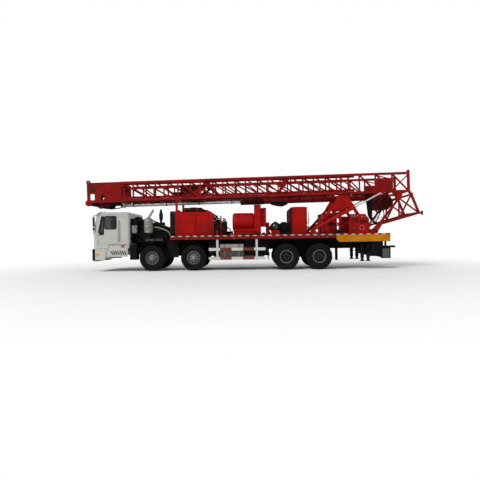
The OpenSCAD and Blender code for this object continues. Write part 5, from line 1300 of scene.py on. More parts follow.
def winch_trim():
    housing = Shape()
    housing.rim(rounded(1.77, 1.6, 2.27, 2.64, 0.03), 0.014, 0.85, 0.858)
    for x in (1.76, 2.28):
        housing.bolts([(x, 0.85, 1.66 + k * 0.19) for k in range(6)], (0, 1, 0), 0.011, 0.009)
    housing.box((1.7, 0.8, DECK_TOP), (2.34, 0.862, 1.548))
    housing.mirror()
    for x in (1.7, 2.318):
        housing.box((x, -0.856, 1.548), (x + 0.022, 0.856, 2.716))
    housing.plate(rounded(1.8, 2.7, 2.24, 2.726, 0.01), -0.7, 0.7)
    housing.done("winch_housing_trim", "rig_red", 0.003)
    # Painted shade: a dark sheet over the drum's round front cover, where the housing's front turns away from
    # the light, and its ribs in the same dark
    cover, ribs, rod = Shape(), Shape(), Shape()
    outer = [(1.709, 2.7045), *arc(1.71, 2.57, 0.1345, 90, 180, 10)[1:]]
    outer += [(1.5755, 2.2), (1.5875, 1.998), (1.6355, 1.858), (1.6755, 1.562)]
    inner = [(1.6795, 1.562), (1.64, 1.862), (1.592, 2.0), (1.58, 2.2)]
    inner += [*arc(1.71, 2.57, 0.13, 180, 90, 10)[:-1], (1.709, 2.7)]
    cover.plate([(1.709, 1.562)] + outer, 0.8455, 0.852)
    cover.mirror()
    cover.plate(outer + inner, -0.848, 0.848)
    cover.done("winch_front_cover", "board_red")
    for y in (-0.6, -0.3, 0.0, 0.3, 0.6):
        ribs.plate([(1.7, 1.62), (1.7, 2.708), (1.65, 2.696), (1.6, 2.652), (1.573, 2.6), (1.566, 2.52),
                    (1.566, 2.2), (1.58, 1.996), (1.628, 1.856)], y - 0.012, y + 0.012)
    ribs.done("winch_cover_ribs", "board_red", 0.002)
    rod.rod((2.42, -0.7, DECK_TOP), (2.42, -0.7, 2.42), 0.012, 10)
    rod.lathe([(0, 0), (0.022, 0.006), (0.024, 0.026), (0, 0.04)], (2.42, -0.7, 2.41), UP, 14)
    rod.pipe([(2.345, -0.6, 2.0), (2.42, -0.64, 2.04), (2.44, -0.68, 2.13), (2.42, -0.7, 2.2)], 0.018, 8)
    rod.pipe([(2.345, -0.5, 1.9), (2.4, -0.56, 1.82), (2.42, -0.62, 1.65), (2.5, -0.64, 1.56),
              (2.8, -0.64, 1.545)],
             0.02, 8)
    rod.done("winch_rod_and_hoses", "machine_dark")


# Mast

POSTS = [-10.65 + i * 0.985 for i in range(11)] + [-0.11, 0.6]
UPPER_POSTS = [-11.1 + i * 0.985 for i in range(11)]
CHORDS = (1.4, 2.17)


def mast_side(side):
    plates, bolts, brace = Shape(side), Shape(side), Shape(side)
    # Gussets between the posts and the chords
    for u in POSTS:
        for w, way in zip(CHORDS, (1, -1)):
            near, far = w + way * 0.045, w + way * 0.101
            plates.plate([(u - 0.062, near), (u + 0.066, near), (u + 0.034, far), (u - 0.034, far)],
                         0.9595, 0.968)
    for u in POSTS[:-2:2]:
        for at in (u + 0.44, u + 0.56):
            bolts.bolts([(at, 0.98, 1.425), (at, 0.98, 1.375)], (0, 1, 0), 0.011, 0.01)
    # Joint plates on the chords
    for u in (-7.2, -3.25):
        for w in CHORDS:
            plates.plate(rounded(u - 0.22, w - 0.042, u + 0.22, w + 0.042, 0.012), 0.9795, 0.989)
            for k in range(5):
                at = u - 0.18 + k * 0.09
                bolts.bolts([(at, 0.989, w - 0.022), (at, 0.989, w + 0.022)], (0, 1, 0), 0.01, 0.009)
    # Stiffeners of the solid plate and the knee
    plates.plate([(-0.06, 1.45), (0.0, 1.45), (0.23, 1.84), (0.2, 1.86)], 0.958, 0.972)
    plates.plate([(0.56, 1.45), (0.5, 1.45), (0.25, 1.84), (0.28, 1.86)], 0.958, 0.972)
    plates.plate(rounded(-0.13, 1.842, 0.59, 1.884, 0.01), 0.955, 0.975)
    plates.plate(rounded(0.78, 1.06, 0.96, 1.15, 0.04), 0.977, 0.988)
    plates.plate(rounded(1.32, 1.19, 1.47, 1.31, 0.04), 0.977, 0.988)
    plates.done("mast_gussets", "mast_red", 0.002, "mast")
    bolts.done("mast_bolts", "mast_red", body="mast")
    # Cross braces near the mast's rear, as on the real side frame
    brace.rod((0.6, 0.93, 1.45), (1.295, 0.93, 2.12), 0.026, 8)
    brace.rod((-0.11, 0.93, 2.12), (0.6, 0.93, 1.92), 0.026, 8)
    brace.done("mast_braces", "mast_red", body="mast")


def mast_lines():
    """Hoses, pipes and their trays along the lower section."""
    pipes, tray, hoses, clips, pale = Shape(), Shape(), Shape(), Shape(), Shape()
    for y, w, u0, u1, r in ((-0.7, 1.345, -10.9, -0.2, 0.016), (-0.74, 1.35, -7.5, 0.4, 0.012),
                            (0.82, 1.345, -10.9, 0.2, 0.016)):
        pipes.pipe([(u0 + (u1 - u0) * k / 8, y, w + 0.006 * math.sin(k * 2.1)) for k in range(9)], r, 8, 3)
    pipes.done("mast_pipes", "board_red", body="mast")
    # Trays for the lines under the bottom chords, open where the rests stand
    for u0, u1 in ((-10.9, -9.05), (-8.55, -2.2), (-0.95, -0.2)):
        tray.plate([(0.66, 1.35), (0.66, 1.298), (0.84, 1.298), (0.84, 1.35), (0.834, 1.35), (0.834, 1.304),
                    (0.666, 1.304), (0.666, 1.35)], u0, u1, "yz")
        for u in [u0 + 0.2 + k * 0.5 for k in range(int((u1 - u0) / 0.5))]:
            tray.box((u, 0.655, 1.29), (u + 0.03, 0.845, 1.299))
    tray.mirror().done("mast_trays", "board_red", body="mast")
    # Bundle that hangs from the mast to the hinge, and loops behind the leg
    for dx, dy in ((0.0, 0.0), (0.05, 0.05), (-0.04, -0.05), (0.09, 0.02), (0.06, -0.03), (-0.03, 0.07)):
        hoses.pipe([(dx - 0.42, dy - 0.56, 1.34), (dx - 0.4, dy - 0.56, 1.15),
                    (dx * 1.5 - 0.33, dy - 0.59, 0.9),
                    (dx - 0.33, dy - 0.62, 0.6), (dx * 0.5 - 0.3, dy - 0.64, 0.35),
                    (dx * 0.2 - 0.16, dy * 0.6 - 0.66, 0.12), (-0.02, dy * 0.5 - 0.68, 0.03)], 0.046, 8)
    hoses.pipe([(0.24, -0.4, 0.78), (0.16, -0.48, 0.64), (0.14, -0.56, 0.48), (0.05, -0.62, 0.32),
                (-0.05, -0.66, 0.16), (-0.06, -0.68, 0.05)], 0.022, 8)
    hoses.pipe([(0.3, -0.42, 0.65), (0.33, -0.52, 0.5), (0.29, -0.6, 0.35), (0.18, -0.64, 0.2),
                (0.06, -0.67, 0.08)], 0.022, 8)
    hoses.done("hinge_hoses", "tyre", body="mast")
    for u, w in ((-0.4, 1.15), (-0.33, 0.75), (-0.32, 0.48)):
        clips.box((u - 0.09, -0.7, w - 0.01), (u + 0.15, -0.5, w + 0.01))
    for u in [-10.4 + k * 1.05 for k in range(10)]:
        clips.box((u - 0.012, -0.765, 1.325), (u + 0.012, -0.68, 1.372))
    clips.done("mast_clips", "board_red", 0.002, "mast")
    pale.pipe([(-0.36, -0.74, 0.08), (-0.18, -0.74, 0.2), (-0.02, -0.74, 0.34), (0.1, -0.74, 0.42)], 0.012, 8)
    pale.pipe([(-0.34, -0.72, 0.06), (-0.16, -0.72, 0.16), (0.06, -0.72, 0.26), (0.2, -0.72, 0.32)], 0.012, 8)
    pale.done("hinge_pipes", "steel_grey", body="mast")


def travelling_block():
    """Grooved sheaves, cheek bosses, hook and lines of the stowed travelling block."""
    block, ropes, cheek, inner, ribs, hook = Shape(), Shape(), Shape(), Shape(), Shape(), Shape()
    u, w = 0.47, 0.96
    for y, bore in ((-0.18, 0.15), (-0.06, 0.15), (0.06, 0.15), (0.18, 0)):
        block.lathe(groove(bore, 0.244, 0.256, 0.232, 0.032), (u, y, w), (0, 1, 0), 44)
        ropes.rod((u - 0.03, y, w + 0.236), (-0.7, y * 0.9, 1.372), 0.01, 6)
    block.done("travelling_sheaves", "machine_dark", body="mast")
    case = [(-0.15, 0.98), (-0.11, 1.18), (0.02, 1.27), (0.47, 1.27), (0.67, 1.15), (0.74, 1.02), (0.72, 0.9),
            (0.53, 0.73), (0.18, 0.74), (0.0, 0.76), (-0.11, 0.86)]
    # The cheeks' dark maroon is partly the block's own paint and partly painted shade of the space under the
    # mast
    cheek.plate(case, 0.2645, 0.27)
    cheek.band(inset(case, 0.004), inset(case, -0.004), 0.236, 0.271)
    cheek.lathe([(0, 0), (0.085, 0), (0.095, 0.012), (0.095, 0.03), (0.06, 0.04), (0, 0.04)],
                (u, 0.279, w), (0, 1, 0), 30)
    cheek.bolt_ring((u, 0.28, w), (0, 1, 0), 0.14, 8, 0.016, 0.014)
    cheek.bolts([(-0.03, 0.28, 0.9), (-0.03, 0.28, 1.1), (0.62, 0.28, 1.04)], (0, 1, 0), 0.016, 0.014)
    cheek.mirror().done("travelling_cheeks", "board_red", 0.004, "mast")
    inner.plate(inset(case, 0.085), 0.27, 0.28)
    inner.mirror().done("travelling_cheek_plates", "block_red", 0.004, "mast")
    for spoke in range(5):
        a = 2 * math.pi * spoke / 5 + 0.4
        ribs.rod((u, 0.281, w), (u + 0.19 * math.cos(a), 0.281, w + 0.19 * math.sin(a)), 0.014, 8)
    ribs.ring((u, 0.281, w), (0, 1, 0), 0.19, 0.012, 40, 8)
    ribs.rod((-0.08, 0.282, 0.89), (0.24, 0.282, 1.2), 0.016, 8)
    ribs.rod((-0.06, 0.282, 1.14), (0.23, 0.282, 0.79), 0.016, 8)
    ribs.mirror().done("travelling_cheek_ribs", "machine_dark", body="mast")
    hook.pipe([(0.0, 0.15, 0.8), (-0.08, 0.16, 0.7), (-0.13, 0.15, 0.56), (-0.11, 0.11, 0.47),
               (-0.06, 0.05, 0.44)],
              0.024)
    hook.mirror()
    hook.lathe([(0, 0), (0.085, 0), (0.095, 0.02), (0.095, 0.08), (0.06, 0.1), (0, 0.1)],
               (0.1, 0, 0.77), (0.2, 0, -1), 26)
    hook.pipe([(0.12, 0, 0.69), (0.13, 0, 0.62), (0.2, 0, 0.56), (0.3, 0, 0.56), (0.34, 0, 0.63),
               (0.32, 0, 0.69)],
              0.036, 14)
    hook.done("travelling_hook", "board_red", body="mast")
    ropes.done("block_ropes", "machine_dark", body="mast")


RAISE_FOOT = (2.55, 1.7)
RAISE_EYE = (5.58, 3.3)


def support_trim(side):
    flanges, brace, pins, ribs = Shape(side), Shape(side), Shape(side), Shape(side)
    # Edge flanges of the saddle plate and the braces between the legs
    flanges.box((3.405, 0.79, 2.592), (4.385, 0.93, 2.612))
    flanges.plate([(3.405, 2.705), (3.425, 2.705), (3.735, 3.18), (3.715, 3.18)], 0.79, 0.93)
    flanges.plate([(4.385, 2.705), (4.365, 2.705), (4.06, 3.18), (4.08, 3.18)], 0.79, 0.93)
    flanges.bolts([(3.56 + k * 0.17, 0.93, 2.655) for k in range(5)], (0, 1, 0), 0.014, 0.012)
    flanges.done("saddle_flanges", "rig_red", 0.002)
    brace.rod((3.48, 0.86, 2.6), (3.76, 0.86, 2.12), 0.04, 10)
    brace.rod((3.05, 0.86, 2.18), (3.76, 0.86, 1.94), 0.034, 10)
    brace.rod((4.56, 0.86, 2.34), (3.77, 0.86, 1.8), 0.034, 10)
    brace.done("support_braces", "rig_red")
    for x, z, y, r in ((HINGE_X, HINGE_Z, 1.045, 0.062), (*RAISE_FOOT, 1.24, 0.046)):
        pins.lathe([(0, 0), (r, 0), (r, 0.016), (r * 0.7, 0.022), (r * 0.7, 0.034), (0, 0.036)],
                   (x, y - 0.01, z), (0, 1, 0), 26)
        pins.box((x - 0.02, y, z + r * 0.9), (x + 0.02, y + 0.014, z + r * 0.9 + 0.04))
    pins.done("pin_ends", "deck_red", 0.002)
    for x, top in ((5.06, 1.64), (5.18, 1.736)):
        ribs.box((x, 0.878, 1.55), (x + 0.014, 0.982, top))
    for y in (0.8, 0.908):
        for x in (2.7, 3.2, 4.2, 4.7):
            ribs.plate([(x, 1.58), (x + 0.09, 1.58), (x + 0.012, 1.65), (x, 1.65)], y, y + 0.012)
    for x in (2.49, 2.62):
        ribs.box((x, 1.06, 1.54), (x + 0.012, 1.07, 1.7))
        ribs.box((x, 0.925, 1.54), (x + 0.012, 1.068, 1.62))
    ribs.done("bracket_ribs", "rig_red")


def raise_trim(side):
    """Glands, ports, lines and eyes of a raising cylinder, placed along it from its foot."""
    run, rise = RAISE_EYE[0] - RAISE_FOOT[0], RAISE_EYE[1] - RAISE_FOOT[1]
    length = math.hypot(run, rise)
    along, up = Vector((run / length, 0, rise / length)), Vector((-rise / length, 0, run / length))

    def place(far, high, across=0.0):
        return Vector((RAISE_FOOT[0], 1.15 + across, RAISE_FOOT[1])) + along * far + up * high

    gland, line, eye = Shape(side), Shape(side), Shape(side)
    gland.lathe([(0.071, 0), (0.08, 0.004), (0.08, 0.056), (0.074, 0.062), (0.074, 0.08), (0.04, 0.088),
                 (0.0335, 0.088)], place(1.96, 0), along, 32)
    gland.lathe(collar(0.0705, 0.077, 0.028, 0.004), place(0.24, 0), along, 32)
    for far in (0.2, 1.9):
        gland.rod(place(far, 0.06), place(far, 0.104), 0.018)
    gland.bolts([place(2.022, a, b) for a, b in circle(0, 0, 0.06, 6)], along, 0.008, 0.01)
    gland.done("raise_glands", "rig_red", body="raise_barrels")
    line.pipe([place(0.2, 0.1), place(0.3, 0.108), place(1.1, 0.1), place(1.78, 0.108), place(1.9, 0.1)],
              0.011, 8)
    line.pipe([place(0.2, 0.09), place(0.12, 0.12), place(0, 0.12, -0.05), place(-0.08, 0.08, -0.07)],
              0.012, 8)
    line.done("raise_lines", "board_red", body="raise_barrels")
    eye.lathe([(0.0715, -0.108), (0.0735, -0.108), (0.0735, 0.004), (0.06, 0.01), (0, 0.012)],
              place(length, 0, 0.04), (0, 1, 0), 28)
    eye.lathe([(0.0335, 0), (0.048, 0.006), (0.048, 0.07), (0.0335, 0.078)],
              place(length - 0.15, 0), along, 24)
    eye.done("raise_eyes", "rig_red", body="raise_rods")


TELE_W = 1.235


def tele_trim():
    """Bands, sleeve, sheaves and guides of the telescoping cylinder."""
    barrel, sleeve, hang, rings = Shape(), Shape(), Shape(), Shape()
    along = (1, 0, 0)
    for u in (-5.948, -2.3, -0.9):
        barrel.lathe(collar(0.131, 0.144, 0.054, 0.004), (u, 0, TELE_W), along, 36)
    barrel.lathe([(0, 0), (0.1, 0), (0.1, 0.02), (0, 0.022)], (0.19, 0, TELE_W), along, 28)
    barrel.done("tele_bands", "mast_red", 0.002, "mast")
    sleeve.lathe([(0.063, -0.04), (0.11, -0.036), (0.132, -0.02), (0.14, 0.01), (0.14, 1.02), (0.131, 1.04)],
                 (-5.95, 0, TELE_W), along, 36)
    for u in [-5.8 + k * 0.19 for k in range(5)]:
        sleeve.lathe(collar(0.14, 0.147, 0.024, 0.004), (u, 0, TELE_W), along, 36)
    sleeve.done("tele_sleeve", "board_red", body="mast")
    # Rope sheave block hanging under the barrel
    for u, w, r in ((-4.15, 1.08, 0.034), (-4.42, 1.12, 0.03)):
        hang.bolt_ring((u, 0.159, w), (0, 1, 0), 0.06, 6, 0.009, 0.01)
    hang.mirror()
    for u, w, r in ((-4.15, 1.08, 0.034), (-4.42, 1.12, 0.03)):
        hang.rod((u, -0.172, w), (u, 0.172, w), r, 16)
    for y in (-0.159, 0.1495):
        hang.plate([(-4.7, 1.18), (-4.56, 1.06), (-4.25, 0.985), (-4.08, 0.975), (-3.86, 1.06),
                    (-3.82, 1.18)],
                   y, y + 0.0095)
    hang.done("under_sheaves", "machine_dark", 0.003, "mast")
    for u in (-10.9, -9.4, -7.9, -6.4):
        rings.lathe(collar(0.061, 0.078, 0.044, 0.004), (u, 0, TELE_W), along, 28)
        rings.box((u, -0.02, 1.3), (u + 0.04, 0.02, 1.33))
    rings.done("tele_rod_guides", "board_red", 0.002, "upper_mast")


def upper_side(side):
    plates, bolts, panel, brace = Shape(side), Shape(side), Shape(side), Shape(side)
    for u in UPPER_POSTS:
        for w, way in ((1.52, 1), (2.115, -1)):
            near, far = w + way * 0.04, w + way * 0.088
            plates.plate([(u - 0.055, near), (u + 0.058, near), (u + 0.03, far), (u - 0.03, far)],
                         0.8245, 0.832)
    for w in (1.348, 2.222):
        plates.box((-12.74, 0.735, w - 0.008), (-11.215, 0.855, w + 0.008))
    # Stiffeners of the crown's side plate, rims of its windows and corner straps
    for u in (-11.96, -11.56):
        plates.box((u, 0.84, 1.455), (u + 0.016, 0.848, 2.118))
    plates.box((-11.94, 0.84, 1.77), (-11.225, 0.847, 1.784))
    for u0, u1, w1 in ((-12.59, -12.4, 1.73), (-12.15, -11.97, 1.69)):
        line = rounded(u0, 1.46, u1, w1, 0.045)
        plates.band(inset(line, -0.014), line, 0.8395, 0.847)
    for u in (-12.735, -11.31):
        plates.plate(rounded(u, 1.352, u + 0.09, 2.218, 0.01), 0.84, 0.849)
    plates.done("upper_gussets", "mast_red", 0.002, "upper_mast")
    for u, w in ((-12.69, 1.4), (-11.265, 1.4), (-11.265, 2.17)):
        corners = [(u + du, 0.849, w + dw) for du in (-0.026, 0.026) for dw in (-0.026, 0.026)]
        bolts.bolts(corners, (0, 1, 0), 0.012, 0.012)
    # Round ear at the crown's lower corner, and a ring round the guy line's eye at the upper one
    bolts.lathe([(0, 0), (0.124, 0), (0.135, 0.01), (0.135, 0.075), (0.119, 0.09), (0, 0.094)],
                (-12.69, 0.77, 1.33), (0, 1, 0), 36)
    bolts.lathe([(0, 0), (0.061, 0), (0.054, 0.018), (0, 0.02)], (-12.69, 0.862, 1.33), (0, 1, 0), 6)
    bolts.lathe([(0.026, 0), (0.084, 0), (0.092, 0.008), (0.092, 0.044), (0.084, 0.052), (0.026, 0.052),
                 (0.026, 0)],
                (-12.68, 0.769, 2.26), (0, 1, 0), 36)
    bolts.done("crown_bolts", "mast_red", body="upper_mast")
    # Painted shade: a dark maroon plate shaped as the slanted shade of the recess above the crown's windows
    panel.plate([(-12.62, 1.8), (-12.38, 1.8), (-12.33, 1.93), (-12.2, 2.02), (-11.98, 2.09), (-12.62, 2.12)],
                0.84, 0.8455)
    panel.done("crown_panels", "block_red", 0.002, "upper_mast")
    # Braces where the racking board folds against the section
    for a, b, wide in (((-7.88, 1.5), (-7.42, 2.05), 0.105), ((-7.42, 2.05), (-6.88, 1.5), 0.105),
                       ((-7.15, 2.15), (-8.05, 1.6), 0.08), ((-4.35, 1.5), (-3.85, 2.06), 0.07)):
        p, q = Vector(a), Vector(b)
        d = (q - p).normalized()
        half = Vector((-d.y, d.x)) * wide / 2
        brace.plate([tuple(corner) for corner in (p + half, p - half, q - half, q + half)], 0.832, 0.872)
    brace.plate([(-7.56, 1.98), (-7.28, 1.98), (-7.2, 2.11), (-7.64, 2.11)], 0.83, 0.876)
    brace.plate([(-4.15, 1.88), (-3.85, 1.98), (-3.8, 2.12), (-4.05, 2.12)], 0.83, 0.876)
    brace.done("board_braces", "mast_red", 0.003, "upper_mast")


CROWN_SHAFT = (-12.04, 1.35)


def crown_trim():
    sheave, shaft, guard, top, lamp, small = Shape(), Shape(), Shape(), Shape(), Shape(), Shape()
    u, w = CROWN_SHAFT
    for y in [k * 0.15 for k in range(-2, 3)]:
        sheave.lathe(groove(0.15, 0.222, 0.236, 0.214, 0.034), (u, y, w), (0, 1, 0), 44)
        for a, b in circle(u, w, 0.13, 6):
            sheave.rod((a, y - 0.033, b), (a, y + 0.033, b), 0.03, 10)
    sheave.done("crown_sheaves", "machine_dark", body="upper_mast")
    shaft.lathe([(0, 0), (0.07, 0), (0.078, 0.01), (0.078, 0.036), (0, 0.04)], (u, 0.69, w), (0, 1, 0), 26)
    shaft.plate([(-12.2, 1.28), (-11.88, 1.28), (-11.94, 1.42), (-12.14, 1.42)], 0.64, 0.664)
    shaft.plate([(-12.6, 1.3), (-12.48, 1.24), (-12.25, 1.23), (-12.25, 1.36), (-12.6, 1.36)], 0.56, 0.6)
    shaft.mirror().done("crown_shaft_ends", "board_red", 0.004, "upper_mast")
    # Rails round the sheaves, their cross rods, and the rods that join the crown's side plates
    guard.pipe([(-12.72, 0.74, 1.3), (-12.6, 0.76, 1.24), (-12.35, 0.76, 1.19), (-12.0, 0.76, 1.18),
                (-11.7, 0.76, 1.22), (-11.5, 0.75, 1.31)], 0.022, 8)
    guard.mirror()
    for at in (-12.35, -11.95):
        guard.rod((at, -0.76, 1.19), (at, 0.76, 1.19), 0.018, 8)
    guard.rod((-12.735, -0.77, 1.3), (-12.735, 0.77, 1.3), 0.05, 16)
    guard.rod((-12.7, -0.69, 2.235), (-12.7, 0.69, 2.235), 0.045, 16)
    guard.done("crown_guard", "board_red", body="upper_mast")
    # Walk plate and its edge bars on the crown's top, and the lamp
    for at in [-12.66 + k * 0.11 for k in range(13)]:
        top.box((at, -0.7, 2.222), (at + 0.03, 0.7, 2.234))
    for y in (-0.7, 0.7):
        top.box((-12.7, y - 0.02, 2.214), (-11.24, y + 0.02, 2.24))
    top.done("crown_grating", "mast_red", 0.001, "upper_mast")
    lamp.lathe([(0, 0), (0.05, 0), (0.05, 0.02), (0.042, 0.03), (0.044, 0.08), (0.03, 0.11), (0, 0.116)],
               (-12.69, 0.0, 2.218), UP, 24)
    lamp.done("crown_lamp", "red_lens", body="upper_mast")
    for at, y in ((-11.52, 0.3), (-11.5, 0.42)):
        small.lathe(groove(0.02, 0.085, 0.095, 0.078, 0.02), (at, y, 1.3), (0, 1, 0), 30)
    small.box((-11.56, 0.26, 1.29), (-11.46, 0.47, 1.372))
    small.mirror().done("line_sheaves", "machine_dark", 0.002, "upper_mast")


def board_trim():
    """Racking board: its floor bars, fingers and rail."""
    board, rail = Shape(), Shape()
    u0, u1 = -8.6, -7.86
    for bar, edge in ((-0.765, -0.768), (0.745, 0.75)):
        for u in [u0 + 0.05 + k * 0.125 for k in range(6)]:
            board.box((u, bar, 1.56), (u + 0.05, bar + 0.02, 1.95))
        board.box((u0 - 0.01, edge, 1.545), (u1 + 0.01, edge + 0.018, 1.585))
        board.box((u0 - 0.01, edge, 1.925), (u1 + 0.01, edge + 0.018, 1.97))
    for y in [-0.64 + k * 0.16 for k in range(9)]:
        board.rod((u0 - 0.42, y, 1.7), (u0 + 0.01, y, 1.7), 0.018, 8)
    board.rod((u0 - 0.02, -0.7, 1.7), (u0 - 0.02, 0.7, 1.7), 0.024, 8)
    for u in [u0 + 0.02 + k * 0.105 for k in range(7)]:
        board.box((u, -0.7, 1.966), (u + 0.03, 0.7, 1.98))
    board.done("board_bars", "board_red", 0.002, "upper_mast")
    rail.pipe([(u1 + 0.02, 0.7, 1.62), (u1 + 0.25, 0.69, 1.64), (u1 + 0.6, 0.69, 1.76),
               (u1 + 0.7, 0.69, 1.96),
               (u1 + 0.3, 0.7, 1.98), (u1, 0.7, 1.95)], 0.017, 8)
    rail.mirror().done("board_rail", "board_red", body="upper_mast")


# Consoles, cabinets, lamps and jacks at the rear

CONSOLE_Y = 1.062
CABINET_Y = 0.79
JACK_X, JACK_Y = (4.65, 4.9), 1.05


def console(side):
    """Control console: panels, dials, valves with levers."""
    frame_bars, dark, pale, maroon, label = Shape(side), Shape(side), Shape(side), Shape(side), Shape(side)
    y = CONSOLE_Y
    for line in (rounded(4.18, 1.96, 4.52, 2.18, 0.015), rounded(4.56, 1.96, 4.9, 2.1, 0.015),
                 rounded(4.18, 1.62, 4.42, 1.9, 0.015)):
        frame_bars.rim(line, 0.01, y, y + 0.01)
        maroon.plate(inset(line, 0.012), y, y + 0.004)
    pale.rim(rounded(4.57, 1.69, 4.73, 1.85, 0.012), 0.008, y, y + 0.008)
    dark.plate(rounded(4.605, 1.725, 4.695, 1.815, 0.03), y, y + 0.012)
    for x, z, r in ((4.24, 2.27, 0.036), (4.36, 2.27, 0.036), (4.48, 2.28, 0.03), (4.66, 2.24, 0.04),
                    (4.79, 2.23, 0.03)):
        dark.lathe([(0, 0), (r, 0), (r * 1.1, 0.006), (r * 1.1, 0.026), (r * 0.92, 0.028), (r * 0.92, 0.022)],
                   (x, y, z), (0, 1, 0), 26)
        pale.lathe([(r * 0.7, 0.023), (0, 0.023)], (x, y, z), (0, 1, 0), 26)
        dark.box((x - 0.003, y + 0.024, z), (x + 0.003, y + 0.027, z + r * 0.75))
    for x in [4.24 + k * 0.052 for k in range(6)]:
        dark.rod((x, y + 0.004, 2.05), (x + 0.006, y + 0.07, 2.11), 0.006, 8)
        dark.lathe([(0, 0), (0.012, 0.004), (0.014, 0.016), (0, 0.026)],
                   (x + 0.006, y + 0.068, 2.108), (0.05, 1, 0.9), 12)
        frame_bars.box((x - 0.016, y, 2.01), (x + 0.016, y + 0.024, 2.08))
    for x in [4.6 + k * 0.07 for k in range(4)]:
        dark.pipe([(x, y + 0.006, 1.96), (x, y + 0.04, 1.98), (x + 0.01, y + 0.044, 2.06),
                   (x + 0.01, y + 0.01, 2.09)], 0.008, 8)
    frame_bars.box((4.12, y - 0.01, 1.53), (4.97, y + 0.012, 1.575))
    frame_bars.box((4.12, y - 0.01, 2.335), (4.81, y + 0.006, 2.355))
    for z in (1.64, 1.72, 1.8):
        frame_bars.lathe([(0, 0), (0.018, 0), (0.018, 0.014), (0.008, 0.02), (0, 0.02)],
                         (4.88, y, z), (0, 1, 0), 14)
    frame_bars.done("console_trim", "rig_red", 0.002)
    dark.done("console_dark", "machine_dark")
    maroon.done("console_panels", "deck_red")
    pale.done("console_pale", "mark_white")
    label.plate(rounded(4.306, 1.752, 4.338, 1.806, 0.006), y + 0.004, y + 0.007)
    label.done("console_plate", "skirt_yellow")


def cabinets(side):
    """Cabinet doors by the raising cylinder, a motor beside them and the hoses between."""
    doors, motor, hose = Shape(side), Shape(side), Shape(side)
    y = CABINET_Y
    for x0, x1 in ((3.06, 3.33), (3.35, 3.61)):
        line = rounded(x0, 1.58, x1, 2.36, 0.015)
        doors.rim(line, 0.01, y, y + 0.009)
        doors.plate(inset(line, 0.018), y, y + 0.005)
        doors.lathe([(0, 0), (0.018, 0), (0.018, 0.012), (0, 0.016)], (x1 - 0.04, y + 0.005, 1.96), (0, 1, 0),
                    16)
    doors.box((3.02, 0.2, 2.415), (3.65, y, 2.43))
    doors.done("cabinet_doors", "rig_red", 0.002)
    motor.lathe([(0, 0), (0.095, 0), (0.105, 0.012), (0.105, 0.11), (0.07, 0.13), (0.03, 0.136), (0, 0.136)],
                (3.33, 0.93, 1.95), (0, 1, 0), 28)
    motor.lathe([(0, 0), (0.05, 0), (0.055, 0.008), (0.055, 0.22), (0, 0.23)],
                (3.56, 1.0, 1.64), (1, 0, 0), 22)
    motor.box((3.5, 0.96, DECK_TOP), (3.8, 1.05, 1.6))
    motor.done("side_motor", "machine_dark", 0.003)
    hose.pipe([(3.33, 1.05, 1.95), (3.45, 1.08, 1.9), (3.56, 1.06, 1.78), (3.6, 1.01, 1.69)], 0.018, 8)
    hose.pipe([(3.78, 1.0, 1.64), (3.9, 1.02, 1.62), (4.02, 1.02, 1.56), (4.13, 1.0, 1.545)], 0.018, 8)
    hose.pipe([(5.0, 1.01, 1.64), (5.1, 1.06, 1.7), (5.25, 1.08, 1.64), (5.35, 1.08, 1.545)], 0.018, 8)
    hose.done("rear_hoses", "tyre")


def rear_lamps(side):
    """Lamp box with its lenses, the netted frame on its side, and the tool box before it."""
    box, lens, amber, net, back = Shape(side), Shape(side), Shape(side), Shape(side), Shape(side)
    box.plate(rounded(1.075, 0.47, 1.225, 0.88, 0.02), 5.8, 5.812, "yz")
    for lamp, z in ((lens, 0.54), (lens, 0.62), (amber, 0.7), (lens, 0.78)):
        lamp.lathe([(0, 0.018), (0.03, 0.014), (0.036, 0.004), (0.036, 0)], (5.812, 1.15, z), (1, 0, 0), 22)
    y = 1.2405
    line = rounded(5.44, 0.462, 5.79, 0.888, 0.012)
    box.rim(line, 0.028, y, y + 0.012)
    for x in [5.478 + k * 0.034 for k in range(9)]:
        net.rod((x, y + 0.004, 0.486), (x, y + 0.004, 0.864), 0.0035, 6)
    for z in [0.496 + k * 0.036 for k in range(11)]:
        net.rod((5.464, y + 0.004, z), (5.766, y + 0.004, z), 0.0035, 6)
    back.plate(inset(line, 0.024), y, y + 0.0015)
    # Hinged lid, catches and seams of the tool box behind the jacks
    box.plate([(5.025, 0.625), (5.405, 0.535), (5.405, 1.09), (5.025, 1.09)], 1.185, 1.193)
    for x in (5.1, 5.33):
        box.rod((x - 0.03, 1.196, 1.088), (x + 0.03, 1.196, 1.088), 0.01, 10)
        box.box((x - 0.016, 1.193, 0.64), (x + 0.016, 1.206, 0.7))
    box.done("rear_lamp_box", "chassis_black", 0.002)
    net.done("rear_lamp_net", "steel_grey")
    back.done("rear_lamp_back", "machine_dark")
    lens.done("rear_lamps", "red_lens")
    amber.done("rear_turn", "amber_lens")


def jacks(side):
    """Collars with lock rings on the jacks' tubes, and the sleeves and rings that ride on the legs."""
    collars, foot, sock = Shape(side), Shape(side), Shape(side)
    for x in JACK_X:
        collars.lathe(collar(0.0805, 0.096, 0.044, 0.004), (x, JACK_Y, 0.705), UP, 32)
        collars.lathe(collar(0.0805, 0.093, 0.034, 0.004), (x, JACK_Y, 1.08), UP, 32)
        collars.box((x - 0.012, 1.125, 0.76), (x + 0.012, 1.15, 1.13))
        collars.rod((x + 0.076, JACK_Y, 1.02), (x + 0.108, JACK_Y, 1.02), 0.014, 10)
        sock.lathe([(0.0605, 0.46), (0.074, 0.464), (0.078, 0.5), (0.078, 0.64), (0.074, 0.684),
                    (0.0605, 0.688)],
                   (x, JACK_Y, 0), UP, 30)
        foot.ring((x, JACK_Y, 0.352), UP, 0.098, 0.01, 32, 8)
        foot.ring((x, JACK_Y, 0.43), UP, 0.062, 0.006, 28, 6)
    collars.done("jack_collars", "chassis_black", 0.002)
    sock.done("jack_sleeves", "machine_dark", 0.002, f"jacks_{side}")
    foot.done("jack_rings", "machine_dark", body=f"jacks_{side}")


